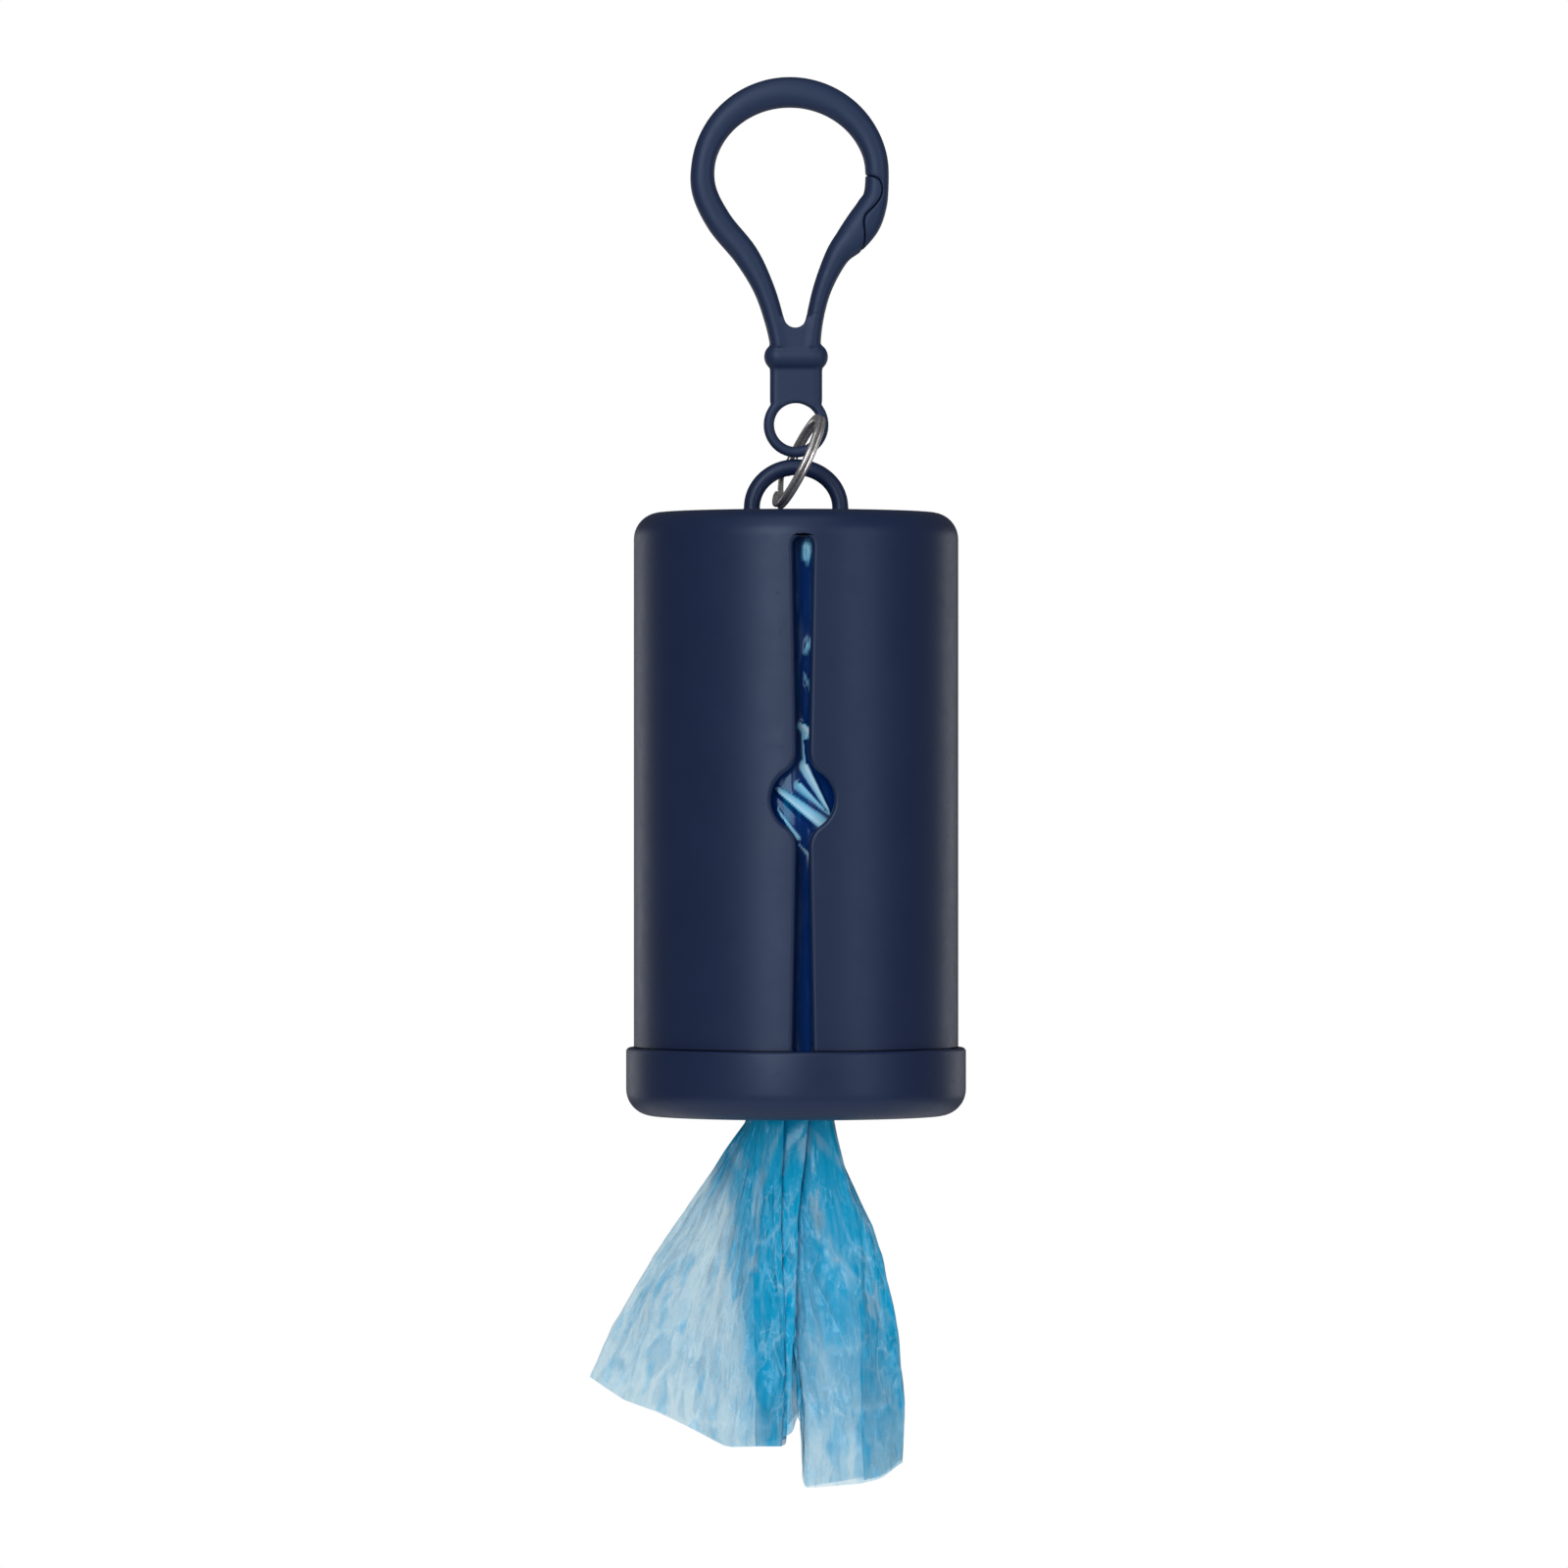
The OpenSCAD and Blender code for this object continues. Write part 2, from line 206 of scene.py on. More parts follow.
# %% Finish
class Finish(Tree):
    """One material and its tree."""

    def __init__(self, name):
        self.material = bpy.data.materials.new(name)
        self.material.use_nodes = True
        super().__init__(self.material.node_tree)
        self.tree.nodes.clear()

    def millimetres(self):
        """The piece's own coordinates, scaled so that a pattern's sizes are in millimetres."""
        place = self.node("ShaderNodeTexCoord", out="Object")
        return self.stretch(place, 1 / MM, 1 / MM, 1 / MM)

    def stretch(self, place, x, y, z):
        """A place with each of its coordinates scaled."""
        sockets = {0: place, 1: (x, y, z)}
        return self.node("ShaderNodeVectorMath", {"operation": "MULTIPLY"}, sockets)

    def noise(self, place, size, detail=2.0, distortion=0.0):
        """Noise from 0 to 1 whose lumps are about that many millimetres wide."""
        sockets = {"Vector": place, "Scale": 1 / size, "Detail": detail, "Distortion": distortion}
        return self.node("ShaderNodeTexNoise", None, sockets)

    def mix(self, factor, first, second):
        """A mix of two colours."""
        sockets = {0: factor, 6: first, 7: second}
        return self.node("ShaderNodeMix", {"data_type": "RGBA"}, sockets, out=2)

    def bump(self, height, distance, strength=1.0):
        """A normal from a height, where distance is in millimetres."""
        sockets = {"Height": height, "Distance": distance * MM, "Strength": strength}
        return self.node("ShaderNodeBump", None, sockets)

    def plastic(self, sockets):
        """A Principled BSDF with these sockets, sent to the output; gives the material."""
        return self.surface(self.node("ShaderNodeBsdfPrincipled", None, sockets))

    def surface(self, shader):
        """Sends a shader to the output and gives the material."""
        self.node("ShaderNodeOutputMaterial", None, {"Surface": shader})
        return self.material


def screen(red, green, blue):
    """A colour given as screen values from 0 to 255, as Blender's linear colour."""
    return (*(((v / 255 + 0.055) / 1.055) ** 2.4 for v in (red, green, blue)), 1.0)


print("navy on screen 59, 69, 96 is linear", [round(v, 3) for v in screen(59, 69, 96)])

# %% [markdown]
# ## Light and floor
# The background is pure white in the photograph. That white comes from what the camera sees and
# not from more light: the world is white for camera rays and for rays that pass through the thin
# film. For everything else it is dim, and dimmest in reflections, so the navy plastic keeps its
# colour. The floor keeps the shadow. It lies far enough below the hem for a bag that is pulled out
# to hang above it.

# %% World
world_light = 0.5
world_gloss = 0.09
world = bpy.data.worlds.new("studio")
bpy.context.scene.world = world
world.use_nodes = True
world.node_tree.nodes.clear()
studio = Tree(world.node_tree)
ray_kinds = ("Is Camera Ray", "Is Transmission Ray", "Is Glossy Ray")
seen, passed, mirrored = (studio.node("ShaderNodeLightPath", out=kind) for kind in ray_kinds)
world_strength = world_light - mirrored * (world_light - world_gloss)
world_strength = world_strength.math("MAXIMUM", world_strength, (seen + passed).clamped())
background = studio.node("ShaderNodeBackground", None, {
    "Color": (1, 1, 1, 1), "Strength": world_strength})
studio.node("ShaderNodeOutputWorld", None, {"Surface": background})
print("world: 1.0 to the camera,", world_light, "to the object")


# %% Soft boxes
def soft_box(name, place, width, height, watts):
    """An area lamp that faces the middle of the housing."""
    lamp = bpy.data.lights.new(name, "AREA")
    lamp.shape = "RECTANGLE"
    lamp.size = width * MM
    lamp.size_y = height * MM
    lamp.energy = watts
    made = added(name, lamp)
    made.location = Vector(place) * MM
    aim = Vector((0, 0, camera_height)) - Vector(place)
    made.rotation_euler = aim.to_track_quat("-Z", "Y").to_euler()
    print(f"{name}: {watts} W, {aim.length:.0f} mm away")


soft_box("key light", (-215, -660, 150), 240, 620, 2.7)
soft_box("fill light", (500, -560, 60), 300, 620, 1.15)
soft_box("right rim light", (330, 330, -95), 160, 240, 0.14)
soft_box("left rim light", (-270, 380, -95), 160, 240, 0.14)
soft_box("top light", (-60, -260, 540), 420, 420, 0.6)

# %% Floor
floor_drop = 68.0
floor_r = 270.0
floor_glow = 0.55
floor_finish = Finish("pale floor")
floor_paint = floor_finish.node("ShaderNodeBsdfDiffuse", None, {"Color": (0.86, 0.86, 0.86, 1)})
floor_light = floor_finish.node("ShaderNodeEmission", None, {"Strength": 1.0})
floor_seen = floor_finish.node("ShaderNodeLightPath", out="Is Camera Ray")
floor_place = floor_finish.node("ShaderNodeTexCoord", out="Object")
floor_reach = floor_finish.node("ShaderNodeVectorMath", {"operation": "LENGTH"}, {0: floor_place},
                                "Value")
floor_share = (floor_reach / (floor_r * MM)).clamped()
floor_fade = floor_share.math("POWER", floor_share, 3.0)
glow_share = (floor_seen * (floor_glow + floor_fade * (1 - floor_glow))).clamped()
floor_shader = floor_finish.node(
    "ShaderNodeMixShader", None, {0: glow_share, 1: floor_paint, 2: floor_light})
floor_mesh = bpy.data.meshes.new("floor")
floor_turns = np.linspace(0, 2 * math.pi, 96, endpoint=False)
floor_mesh.from_pydata([(floor_r * MM * math.cos(t), floor_r * MM * math.sin(t), 0)
                        for t in floor_turns], [], [tuple(range(96))])
floor_mesh.materials.append(floor_finish.surface(floor_shader))
floor = added("floor", floor_mesh)
floor.location.z = (hem_z - floor_drop) * MM
floor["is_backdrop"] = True
print(f"floor {floor_drop:.0f} mm under the hem, {2 * floor_r:.0f} mm across")

# %% [markdown]
# ## Finish: moulded plastic
# The housing, the cap and the clip are injection moulded in navy plastic with a satin skin. The
# mould leaves a very fine grain, the gloss varies a little where the melt flowed, and there is
# faint clouding in the colour. All three come from noise whose size is given in millimetres.


# %% Navy plastic
def navy_plastic(name, dark, light, gloss):
    """Satin moulded plastic: clouded colour, uneven gloss and a fine mould grain."""
    f = Finish(name)
    p = f.millimetres()
    cloud = f.noise(p, 9.0, 3.0)
    flow = f.noise(p, 2.6, 3.0, 0.6)
    grain = f.noise(p, 0.16)
    pit = f.noise(p, 0.5, 0.0) > 0.78
    return f.plastic({
        "Base Color": f.mix(cloud * 0.7 + grain * 0.3, dark, light),
        "Roughness": gloss + (flow - 0.5) * 0.12 + (grain - 0.5) * 0.1 + pit * 0.08,
        "Normal": f.bump(grain * 0.7 + flow * 0.4 - pit * 0.25, 0.012, 0.5),
        "IOR": 1.5,
        "Specular Tint": (0.62, 0.76, 1.0, 1),
    })


housing_plastic = navy_plastic("navy plastic", screen(15, 28, 58), screen(23, 36, 68), 0.43)
clip_plastic = navy_plastic("clip plastic", screen(21, 35, 65), screen(29, 43, 74), 0.5)
print("navy plastics ready,", len(housing_plastic.node_tree.nodes), "nodes in each")

# %% [markdown]
# ## Finish: plated wire and card
# The split ring is drawn steel wire with bright nickel plating: it mirrors, with fine scratches
# along and across and duller patches where rings rub together. The core is a spiral wound card
# tube, which shows paper fibres, dark flecks and the line of its winding.


# %% Nickel wire
def nickel_wire():
    """Bright plated steel with fine scratches and duller patches."""
    f = Finish("nickel wire")
    p = f.millimetres()
    scratch = f.noise(p, 0.07, 2.0, 1.5)
    patch = f.noise(p, 0.9)
    return f.plastic({
        "Base Color": f.mix(patch, screen(176, 176, 184), screen(232, 228, 222)),
        "Metallic": 0.85,
        "Roughness": 0.17 + patch * 0.1 + scratch * 0.08,
        "Normal": f.bump(scratch, 0.0012, 0.4),
    })


wire_finish = nickel_wire()
print("wire ready,", len(wire_finish.node_tree.nodes), "nodes")


# %% Brown card
def brown_card():
    """Spiral wound kraft card."""
    f = Finish("brown card")
    p = f.millimetres()
    x, y, z = (f.node("ShaderNodeSeparateXYZ", None, {0: p}, out=i) for i in range(3))
    turn = z / 24.0 + x.math("ARCTAN2", y, x) / (2 * math.pi)
    seam = turn.math("FRACT", turn) > 0.97
    fibre = f.noise(f.stretch(p, 1, 1, 0.25), 0.5, 4.0)
    fleck = f.noise(p, 0.3, 1.0) > 0.68
    kraft = f.mix(fibre, screen(150, 116, 80), screen(196, 162, 120))
    kraft = f.mix(fleck * 0.4, kraft, screen(104, 76, 50))
    return f.plastic({
        "Base Color": f.mix(seam * 0.6, kraft, screen(84, 62, 42)),
        "Roughness": 0.75 + fibre * 0.2,
        "Normal": f.bump(fibre - seam, 0.05, 0.7),
    })


card_finish = brown_card()
print("card ready,", len(card_finish.node_tree.nodes), "nodes")

# %% [markdown]
# ## Finish: film
# The bags are blown polyethylene, blue and about 15 micrometres thick. One layer is nearly clear,
# so white shows through it as a pale blue, and where the film is gathered in many layers the blue
# gets deep. The mesh has fewer layers than the real bag where it is gathered, so each of its
# points knows how many real layers it stands for, as `layers`. Every layer hides a set share of
# what is behind it. Highlights along creases and folds are painted into the colour as a whitish
# blue, and their share is stored as `crease`. The roll is opaque.

# %% Colours and facets of the film
thin_blue = (0.22, 0.52, 0.72, 1)
deep_blue = (0.0, 0.34, 0.62, 1)
dark_blue = (0.0, 0.02, 0.13, 1)
# A whitish blue for the painted highlights on creases and folds.
highlight_white = (0.74, 0.92, 1.0, 1)
clear_tint = (0.81, 0.88, 0.9, 1)
layer_cover = 0.31


def stored(f, name, out="Fac"):
    """A value that each point of the mesh carries."""
    return f.node("ShaderNodeAttribute", {"attribute_name": name}, out=out)


def facets(f, width, length, seed):
    """Crumpled facets drawn out along the pull: each one's tone, its height and its edge."""
    flat = stored(f, "flat", "Vector")
    x, y = (f.node("ShaderNodeSeparateXYZ", None, {0: flat}, out=i) for i in range(2))
    sway = f.noise(f.stretch(flat, 1, 0.5, 1), width * 2.5) - 0.5
    place = f.node("ShaderNodeCombineXYZ", None, {
        0: x / width + sway * 1.4, 1: y / length + sway, 2: seed})
    shape = {"distance": "MANHATTAN"}
    sockets = {"Vector": place, "Scale": 1.0}
    cell = f.node("ShaderNodeTexVoronoi", shape, sockets, "Color")
    height = Term(f.tree, cell.socket.node.outputs["Distance"])
    second = f.node("ShaderNodeTexVoronoi", {**shape, "feature": "F2"}, sockets, "Distance")
    gap = second - height
    tone = f.node("ShaderNodeSeparateColor", None, {0: cell}) * (gap / 0.45).clamped()
    return tone, height, (1 - gap / 0.12).clamped()


print(f"one layer of film hides {layer_cover:.0%} of what is behind it")


# %% Film sheet
def film_sheet():
    """Thin see-through film; the share that hides what is behind grows with the layers."""
    f = Finish("blue film")
    layers = stored(f, "layers")
    crease = stored(f, "crease")
    flat = stored(f, "flat", "Vector")
    crumpled = f.node("ShaderNodeSeparateXYZ", None, {0: flat}, out=2)
    tone, height, edge = facets(f, 2.5, 6.6, 1.3)
    small_tone, small_height, small_edge = facets(f, 1.25, 2.8, 7.7)
    fine = f.noise(f.stretch(f.millimetres(), 1, 1, 0.3), 0.35, 3.0, 0.8)
    patch = ((f.noise(f.millimetres(), 4.0) - 0.42) * 5).clamped()
    streak = ((f.noise(f.stretch(flat, 1, 0.28, 1), 1.7, 2.0, 1.2) - 0.52) * 7).clamped()
    variety = ((tone - 0.3) * 1.7).clamped() * 1.1 + streak * 0.6 + small_tone * 0.7 * patch
    layers = (layers * 0.75 + variety * crumpled - 0.1).clamped(0.1, 14)
    # The stored creases and the facets' edges are painted whitish: a painted highlight, which also
    # hides a little more of what is behind.
    highlight_amount = (crease + (edge * 0.18 + small_edge * 0.12) * patch * crumpled).clamped()
    blue = f.mix(((layers - 0.7) / 1.8).clamped(), thin_blue, deep_blue)
    blue = f.mix(((layers - 8.7) / 1.8).clamped(), blue, dark_blue)
    relief = height * (crumpled * 0.9 + 0.12)
    relief += (small_height * 0.35 * patch + fine * 0.02 + streak * 0.12) * crumpled
    skin = f.node("ShaderNodeBsdfPrincipled", None, {
        "Base Color": f.mix(highlight_amount * 0.8, blue, highlight_white),
        "Roughness": 0.1 + tone * 0.1 + fine * 0.08,
        "Specular IOR Level": 0.4,
        "Specular Tint": (0.5, 0.78, 1.0, 1),
        "Normal": f.bump(relief, 0.8, 0.9),
    })
    passed_on = layers.math("POWER", 1 - layer_cover, layers)
    cover = (1 - passed_on + highlight_amount * 0.4).clamped(0.03, 0.97)
    clear = f.node("ShaderNodeBsdfTransparent", None, {"Color": clear_tint})
    return f.surface(f.node("ShaderNodeMixShader", None, {0: cover, 1: clear, 2: skin}))


film_finish = film_sheet()
see_through = 24
bpy.context.scene.cycles.transparent_max_bounces = see_through
print("film ready, up to", see_through, "layers of it seen through")


# %% Wound film
def wound_film():
    """The same film, many layers deep, with the dark lines between its turns."""
    f = Finish("wound film")
    p = f.stretch(f.millimetres(), 1, 1, 0.05)
    line = f.noise(p, 0.5) > 0.6
    ripple = f.noise(f.stretch(f.millimetres(), 1, 1, 0.3), 1.8, 2.0, 0.5)
    return f.plastic({
        "Base Color": f.mix(line * 0.5, (0.0, 0.035, 0.16, 1), (0.01, 0.07, 0.24, 1)),
        "Roughness": 0.24 + ripple * 0.2,
        "Normal": f.bump(ripple - line * 0.2, 0.12, 0.6),
    })


wound_finish = wound_film()
print("wound film ready,", len(wound_finish.node_tree.nodes), "nodes")

# %% [markdown]
# ## Mesh helpers
# Most pieces are grids of points, such as a profile turned round an axis or a section carried
# along a path. `Shape` gathers grids in millimetres and makes one mesh in metres. Doubled points
# are merged first, and then the faces are turned outwards.


# %% Shape
class Shape:
    """Points in millimetres, and the faces between them."""

    def __init__(self):
        self.points = []
        self.faces = []

    def add(self, points, faces):
        """Adds points and the faces that join them."""
        start = len(self.points)
        self.points += [tuple(map(float, p)) for p in points]
        self.faces += [tuple(start + i for i in face) for face in faces]
        return self

    def grid(self, grid, ring=False):
        """Adds rows of points with quads between them; the rows may close into rings."""
        grid = np.asarray(grid, float)
        rows, columns = grid.shape[:2]
        last = columns if ring else columns - 1
        faces = [(i * columns + j, i * columns + (j + 1) % columns,
                  (i + 1) * columns + (j + 1) % columns, (i + 1) * columns + j)
                 for i in range(rows - 1) for j in range(last)]
        return self.add(grid.reshape(-1, 3), faces)

    def tube(self, rings):
        """Adds rings of points joined into a closed solid."""
        self.grid(rings, ring=True)
        count = len(rings[0])
        last = len(self.points) - count
        first = last - count * (len(rings) - 1)
        self.faces += [tuple(range(first + count - 1, first - 1, -1)),
                       tuple(range(last, last + count))]
        return self

    def mesh(self, closed=True):
        """A smooth shaded Blender mesh in metres; a sheet, which isn't closed, is left as drawn."""
        made = bpy.data.meshes.new("shape")
        made.from_pydata([(x * MM, y * MM, z * MM) for x, y, z in self.points], [], self.faces)
        work = bmesh.new()
        work.from_mesh(made)
        if closed:
            bmesh.ops.remove_doubles(work, verts=work.verts, dist=0.001 * MM)
            bmesh.ops.dissolve_degenerate(work, dist=0.0001 * MM, edges=work.edges)
            bmesh.ops.recalc_face_normals(work, faces=work.faces)
        for face in work.faces:
            face.smooth = True
        work.to_mesh(made)
        work.free()
        return made


square = [(0, 0), (1, 0), (1, 1), (0, 1)]
cube = Shape().tube([[(x, y, z) for x, y in square] for z in (0, 1)])
print("a cube as a tube of two squares has", len(cube.faces), "faces")


# %% Piece, profile and curve helpers
def piece(name, mesh, finish):
    """A shown object at the origin with one material."""
    mesh.name = name
    mesh.materials.clear()
    mesh.materials.append(finish)
    made = added(name, mesh)
    print(f"{name}: {len(mesh.vertices)} points, {len(mesh.polygons)} faces")
    return made


def arc(centre, radius, start, end, steps):
    """Points on an arc, from one angle to another in degrees."""
    return [(centre[0] + radius * math.cos(math.radians(a)),
             centre[1] + radius * math.sin(math.radians(a)))
            for a in np.linspace(start, end, steps + 1)]


def through(points, steps):
    """A smooth curve through points; the first and last only give its direction."""
    p = np.array(points, float)
    made = []
    for a, b, c, d in zip(p, p[1:], p[2:], p[3:]):
        for t in np.arange(steps) / steps:
            made.append((2 * b + (c - a) * t + (2 * a - 5 * b + 4 * c - d) * t ** 2
                         + (3 * b - a - 3 * c + d) * t ** 3) / 2)
    return np.array(made + [p[-2]])


def smooth_step(value, start, end):
    """0 before start, 1 after end, and a smooth rise between."""
    t = np.clip((np.asarray(value, float) - start) / (end - start), 0, 1)
    return t * t * (3 - 2 * t)


def unit(ways):
    """Directions, each with a length of 1."""
    return ways / np.maximum(np.linalg.norm(ways, axis=-1, keepdims=True), 1e-9)


def points_of(*values):
    """Coordinates given one by one, as numbers or arrays, put together as points."""
    return np.stack(np.broadcast_arrays(*values), axis=-1)


def leftwards(way):
    """Flat directions turned to the left by a right angle."""
    return points_of(-way[:, 1], way[:, 0])


def turned(profile, angles):
    """Rows of points for a profile of (radius, z) turned round the axis; angle 0 is the front."""
    return [[(r * math.sin(a), -r * math.cos(a), z) for a in angles] for r, z in profile]


def evaluated(host):
    """The mesh that an object's modifiers make of it; the object itself goes away."""
    ready = host.evaluated_get(bpy.context.evaluated_depsgraph_get())
    made = bpy.data.meshes.new_from_object(ready)
    bpy.data.objects.remove(host)
    return made


def reworked(mesh, *changes):
    """A mesh after a row of modifiers, each given as its type and its settings."""
    host = added("work", mesh)
    for kind, settings in changes:
        modifier = host.modifiers.new(kind, kind)
        for key, value in settings.items():
            setattr(modifier, key, value)
    return evaluated(host)


print("a quarter arc of radius 1 ends at", arc((0, 0), 1, 0, 90, 4)[-1])

# %% [markdown]
# ## Housing: the slotted wall
# The housing is a cup, closed at the top, moulded in one piece. Its front has a slot that widens
# into a finger hole, with soft rounded lips. A boolean cut would leave hard, uneven edges there,
# so the wall is drawn flat instead: the outline of the slot is laid out on the unrolled wall,
# triangles are fitted round it, and the sheet is rolled up. Rows of points that follow the outline
# form the lips.

# %% Slot outline
body_wall = 2.0
body_h = 65.9
top_t = 2.2
edge_r = 3.3
rim_gap = 0.15
hole_r = 3.87
hole_up = 30.6
throat = 0.75
slot_end_r = 1.2
flare_r = 3.0
bore_r = body_r - body_wall
top_z = rim_z + body_h
ceiling_z = top_z - top_t
shoulder_z = rim_z + rim_gap
hole_z = rim_z + hole_up
slot_up = top_z - edge_r - slot_end_r - hole_z
flare_end = math.sqrt((hole_r + flare_r) ** 2 - (throat + flare_r) ** 2)
flare_turn = math.degrees(math.asin(flare_end / (hole_r + flare_r)))


def half_outline(reach, rounded):
    """Right edge of the slot from the finger hole's middle to a distance, as (x, distance)."""
    line = arc((0, 0), hole_r, 0, flare_turn, 12)
    line += arc((throat + flare_r, flare_end), flare_r, 180 + flare_turn, 180, 10)[1:]
    widening = (slot_end_r - throat) / (slot_up - flare_end)
    line += [(throat + widening * min(d - flare_end, slot_up - flare_end), d)
             for d in np.linspace(flare_end, reach, int(reach - flare_end) + 1)[1:]]
    return line + (arc((0, slot_up), slot_end_r, 0, 90, 9)[1:] if rounded else [])


def slot_outline(bottom):
    """The slot's edge from the bottom left up, over the top and down, and its outward way."""
    lower = [(x, -d) for x, d in half_outline(hole_z - bottom, False)]
    right = lower[::-1] + half_outline(slot_up, True)[1:]
    points = np.array(right + [(-x, z) for x, z in right[-2::-1]])[::-1] + [0, hole_z]
    way = np.gradient(points, axis=0)
    way[[0, -1], 0] = 0
    return points, leftwards(unit(way))


print(f"slot: {len(slot_outline(shoulder_z)[0])} points, {2 * hole_r:.2f} mm finger hole")

# %% Wall triangles
lip_r = 0.55
inner_lip_r = 0.2
fine_half = math.radians(14)
fine_step = 0.9
edge_room = 0.4
wall_step = math.radians(2.5)
wall_angles = np.arange(-72, 73) * wall_step


def wall_foot(radius, lip):
    """Angles of the wall's lower edge, from the slot's right side round the back to its left."""
    gap = math.asin((slot_outline(shoulder_z)[0][-1, 0] + lip) / radius)
    right = [a for a in wall_angles if a > gap + wall_step / 3]
    return [gap] + right + [-a for a in right[-2::-1]] + [-gap]


def filled(loop, inside=()):
    """Triangles that fill a loop of flat points, with more points inside it."""
    points = [Vector(p) for p in (*loop, *inside)]
    made, _, faces, *_ = delaunay_2d_cdt(points, [], [list(range(len(loop)))], 1, 1e-7)
    return made, faces


def slotted_wall(shape, radius, lip, high_z):
    """Adds a cylinder's wall round the slot, whose edge stands back by the lip's radius."""
    points, out = slot_outline(shoulder_z)
    edge = points + lip * out
    foot = np.array(wall_foot(radius, lip)) * radius
    heights = np.linspace(shoulder_z, high_z, int((high_z - shoulder_z) / 3) + 1)
    half_way = math.pi * radius
    back = int(np.argmax(foot)) + 1
    loop = [(x, shoulder_z) for x in foot[:back]] + [(half_way, z) for z in heights[1:-1]]
    loop += [(a * radius, high_z) for a in wall_angles[::-1]]
    loop += [(-half_way, z) for z in heights[-2::-1]] + [(x, shoulder_z) for x in foot[back:-1]]
    rim = points_of(np.arcsin(edge[:, 0] / radius) * radius, edge[:, 1])
    loop += [tuple(p) for p in rim]
    inside = [(a * radius, z) for a in wall_angles[1:-1] for z in heights[1:-1]
              if abs(a) > fine_half]
    inside += [(a * wall_step / 2 * radius, z) for a in range(-10, 11)
               for z in np.arange(shoulder_z + 2 * edge_room, high_z - edge_room, fine_step)]
    half = np.array(half_outline(slot_up, True))
    kept = [p for p in inside
            if (p[1] > rim[:, 1].max() or abs(p[0]) > np.interp(
                abs(p[1] - hole_z), half[:, 1], half[:, 0]) + lip)
            and np.min(np.hypot(rim[:, 0] - p[0], rim[:, 1] - p[1])) > edge_room]
    made, faces = filled(loop, kept)
    shape.add([(radius * math.sin(x / radius), -radius * math.cos(x / radius), z)
               for x, z in made], faces)
    return len(faces)


print(f"foot of the outer wall: {len(wall_foot(body_r, lip_r))} points")

# %% Lips, top and foot
inner_edge_r = edge_r - body_wall


def lip_row(radius, lip, turn, inwards):
    """One row of points along a lip, where turn goes from the wall's face to the slot's side."""
    points, out = slot_outline(shoulder_z)
    ring = points + lip * (1 - math.sin(turn)) * out
    y = -np.sqrt(radius ** 2 - ring[:, 0] ** 2) + inwards * lip * (1 - math.cos(turn))
    return points_of(ring[:, 0], y, ring[:, 1])


shell = Shape()
wall_faces = slotted_wall(shell, body_r, lip_r, top_z - edge_r)
wall_faces += slotted_wall(shell, bore_r, inner_lip_r, ceiling_z - inner_edge_r)
lip_rows = [lip_row(body_r, lip_r, t, 1) for t in np.linspace(0, math.pi / 2, 8)]
lip_rows += [lip_row(bore_r, inner_lip_r, t, -1) for t in np.linspace(math.pi / 2, 0, 4)]
shell.grid(lip_rows)
outer_top = arc((body_r - edge_r, top_z - edge_r), edge_r, 0, 90, 10)
outer_top += [(11, top_z), (5, top_z), (0, top_z)]
inner_top = arc((bore_r - inner_edge_r, ceiling_z - inner_edge_r), inner_edge_r, 0, 90, 5)
inner_top += [(8, ceiling_z), (0, ceiling_z)]
for profile in (outer_top, inner_top):
    shell.grid(turned(profile, wall_angles))
foot_loop = turned([(body_r, shoulder_z)], wall_foot(body_r, lip_r))[0]
foot_loop += [row[0] for row in lip_rows[1:]]
foot_loop += turned([(bore_r, shoulder_z)], wall_foot(bore_r, inner_lip_r)[-2:0:-1])[0]
foot_loop += [row[-1] for row in lip_rows[:0:-1]]
foot_points, foot_faces = filled([p[:2] for p in foot_loop])
shell.add([(x, y, shoulder_z) for x, y in foot_points], foot_faces)
print(f"{wall_faces} wall triangles, {len(lip_rows)} lip rows, {len(foot_faces)} foot triangles")

# %% [markdown]
# ## Housing: arch and neck
# The split ring hangs in a small arch moulded on the top face, whose feet widen into the face with
# a fillet. It is a round rod carried along its path. The neck is a thinner ring under the wall,
# which the cap screws on to, and it is open at the slot.

# %% Arch and neck
arch_rod = 2.0
arch_half = 5.45
arch_rise = 5.0
arch_leg = 0.6
foot_fillet = 0.65
foot_sunk = 0.3
neck_wall = 1.05
spring_z = top_z + arch_leg
neck_r = bore_r + neck_wall
leg_heights = np.concatenate([[-foot_sunk], np.linspace(0, 1, 9) ** 2 * (spring_z - top_z)])
leg = []
for h in leg_heights:
    reach = foot_fillet - min(max(h, 0), foot_fillet)
    leg.append((arch_half, top_z + h, arch_rod / 2 + foot_fillet
                - math.sqrt(foot_fillet ** 2 - reach ** 2)))
over = [(arch_half * math.cos(a), spring_z + arch_rise * math.sin(a), arch_rod / 2)
        for a in np.linspace(0, math.pi, 41)]
line = np.array(leg[:-1] + over + [(-x, z, r) for x, z, r in leg[-2::-1]])
ahead = np.gradient(line[:, :2], axis=0)
ahead[:len(leg) - 1] = (0, 1)
ahead[-len(leg) + 1:] = (0, -1)
ahead = unit(ahead)
round_turn = np.linspace(0, 2 * math.pi, 32, endpoint=False)
rod = [[(x + r * math.cos(t) * az, r * math.sin(t), z - r * math.cos(t) * ax) for t in round_turn]
       for (x, z, r), (ax, az) in zip(line, ahead)]
shell.tube(rod)
neck_in = bore_r + 0.02
in_bevel = 0.2
out_bevel = 0.3
neck_root = shoulder_z + 0.5
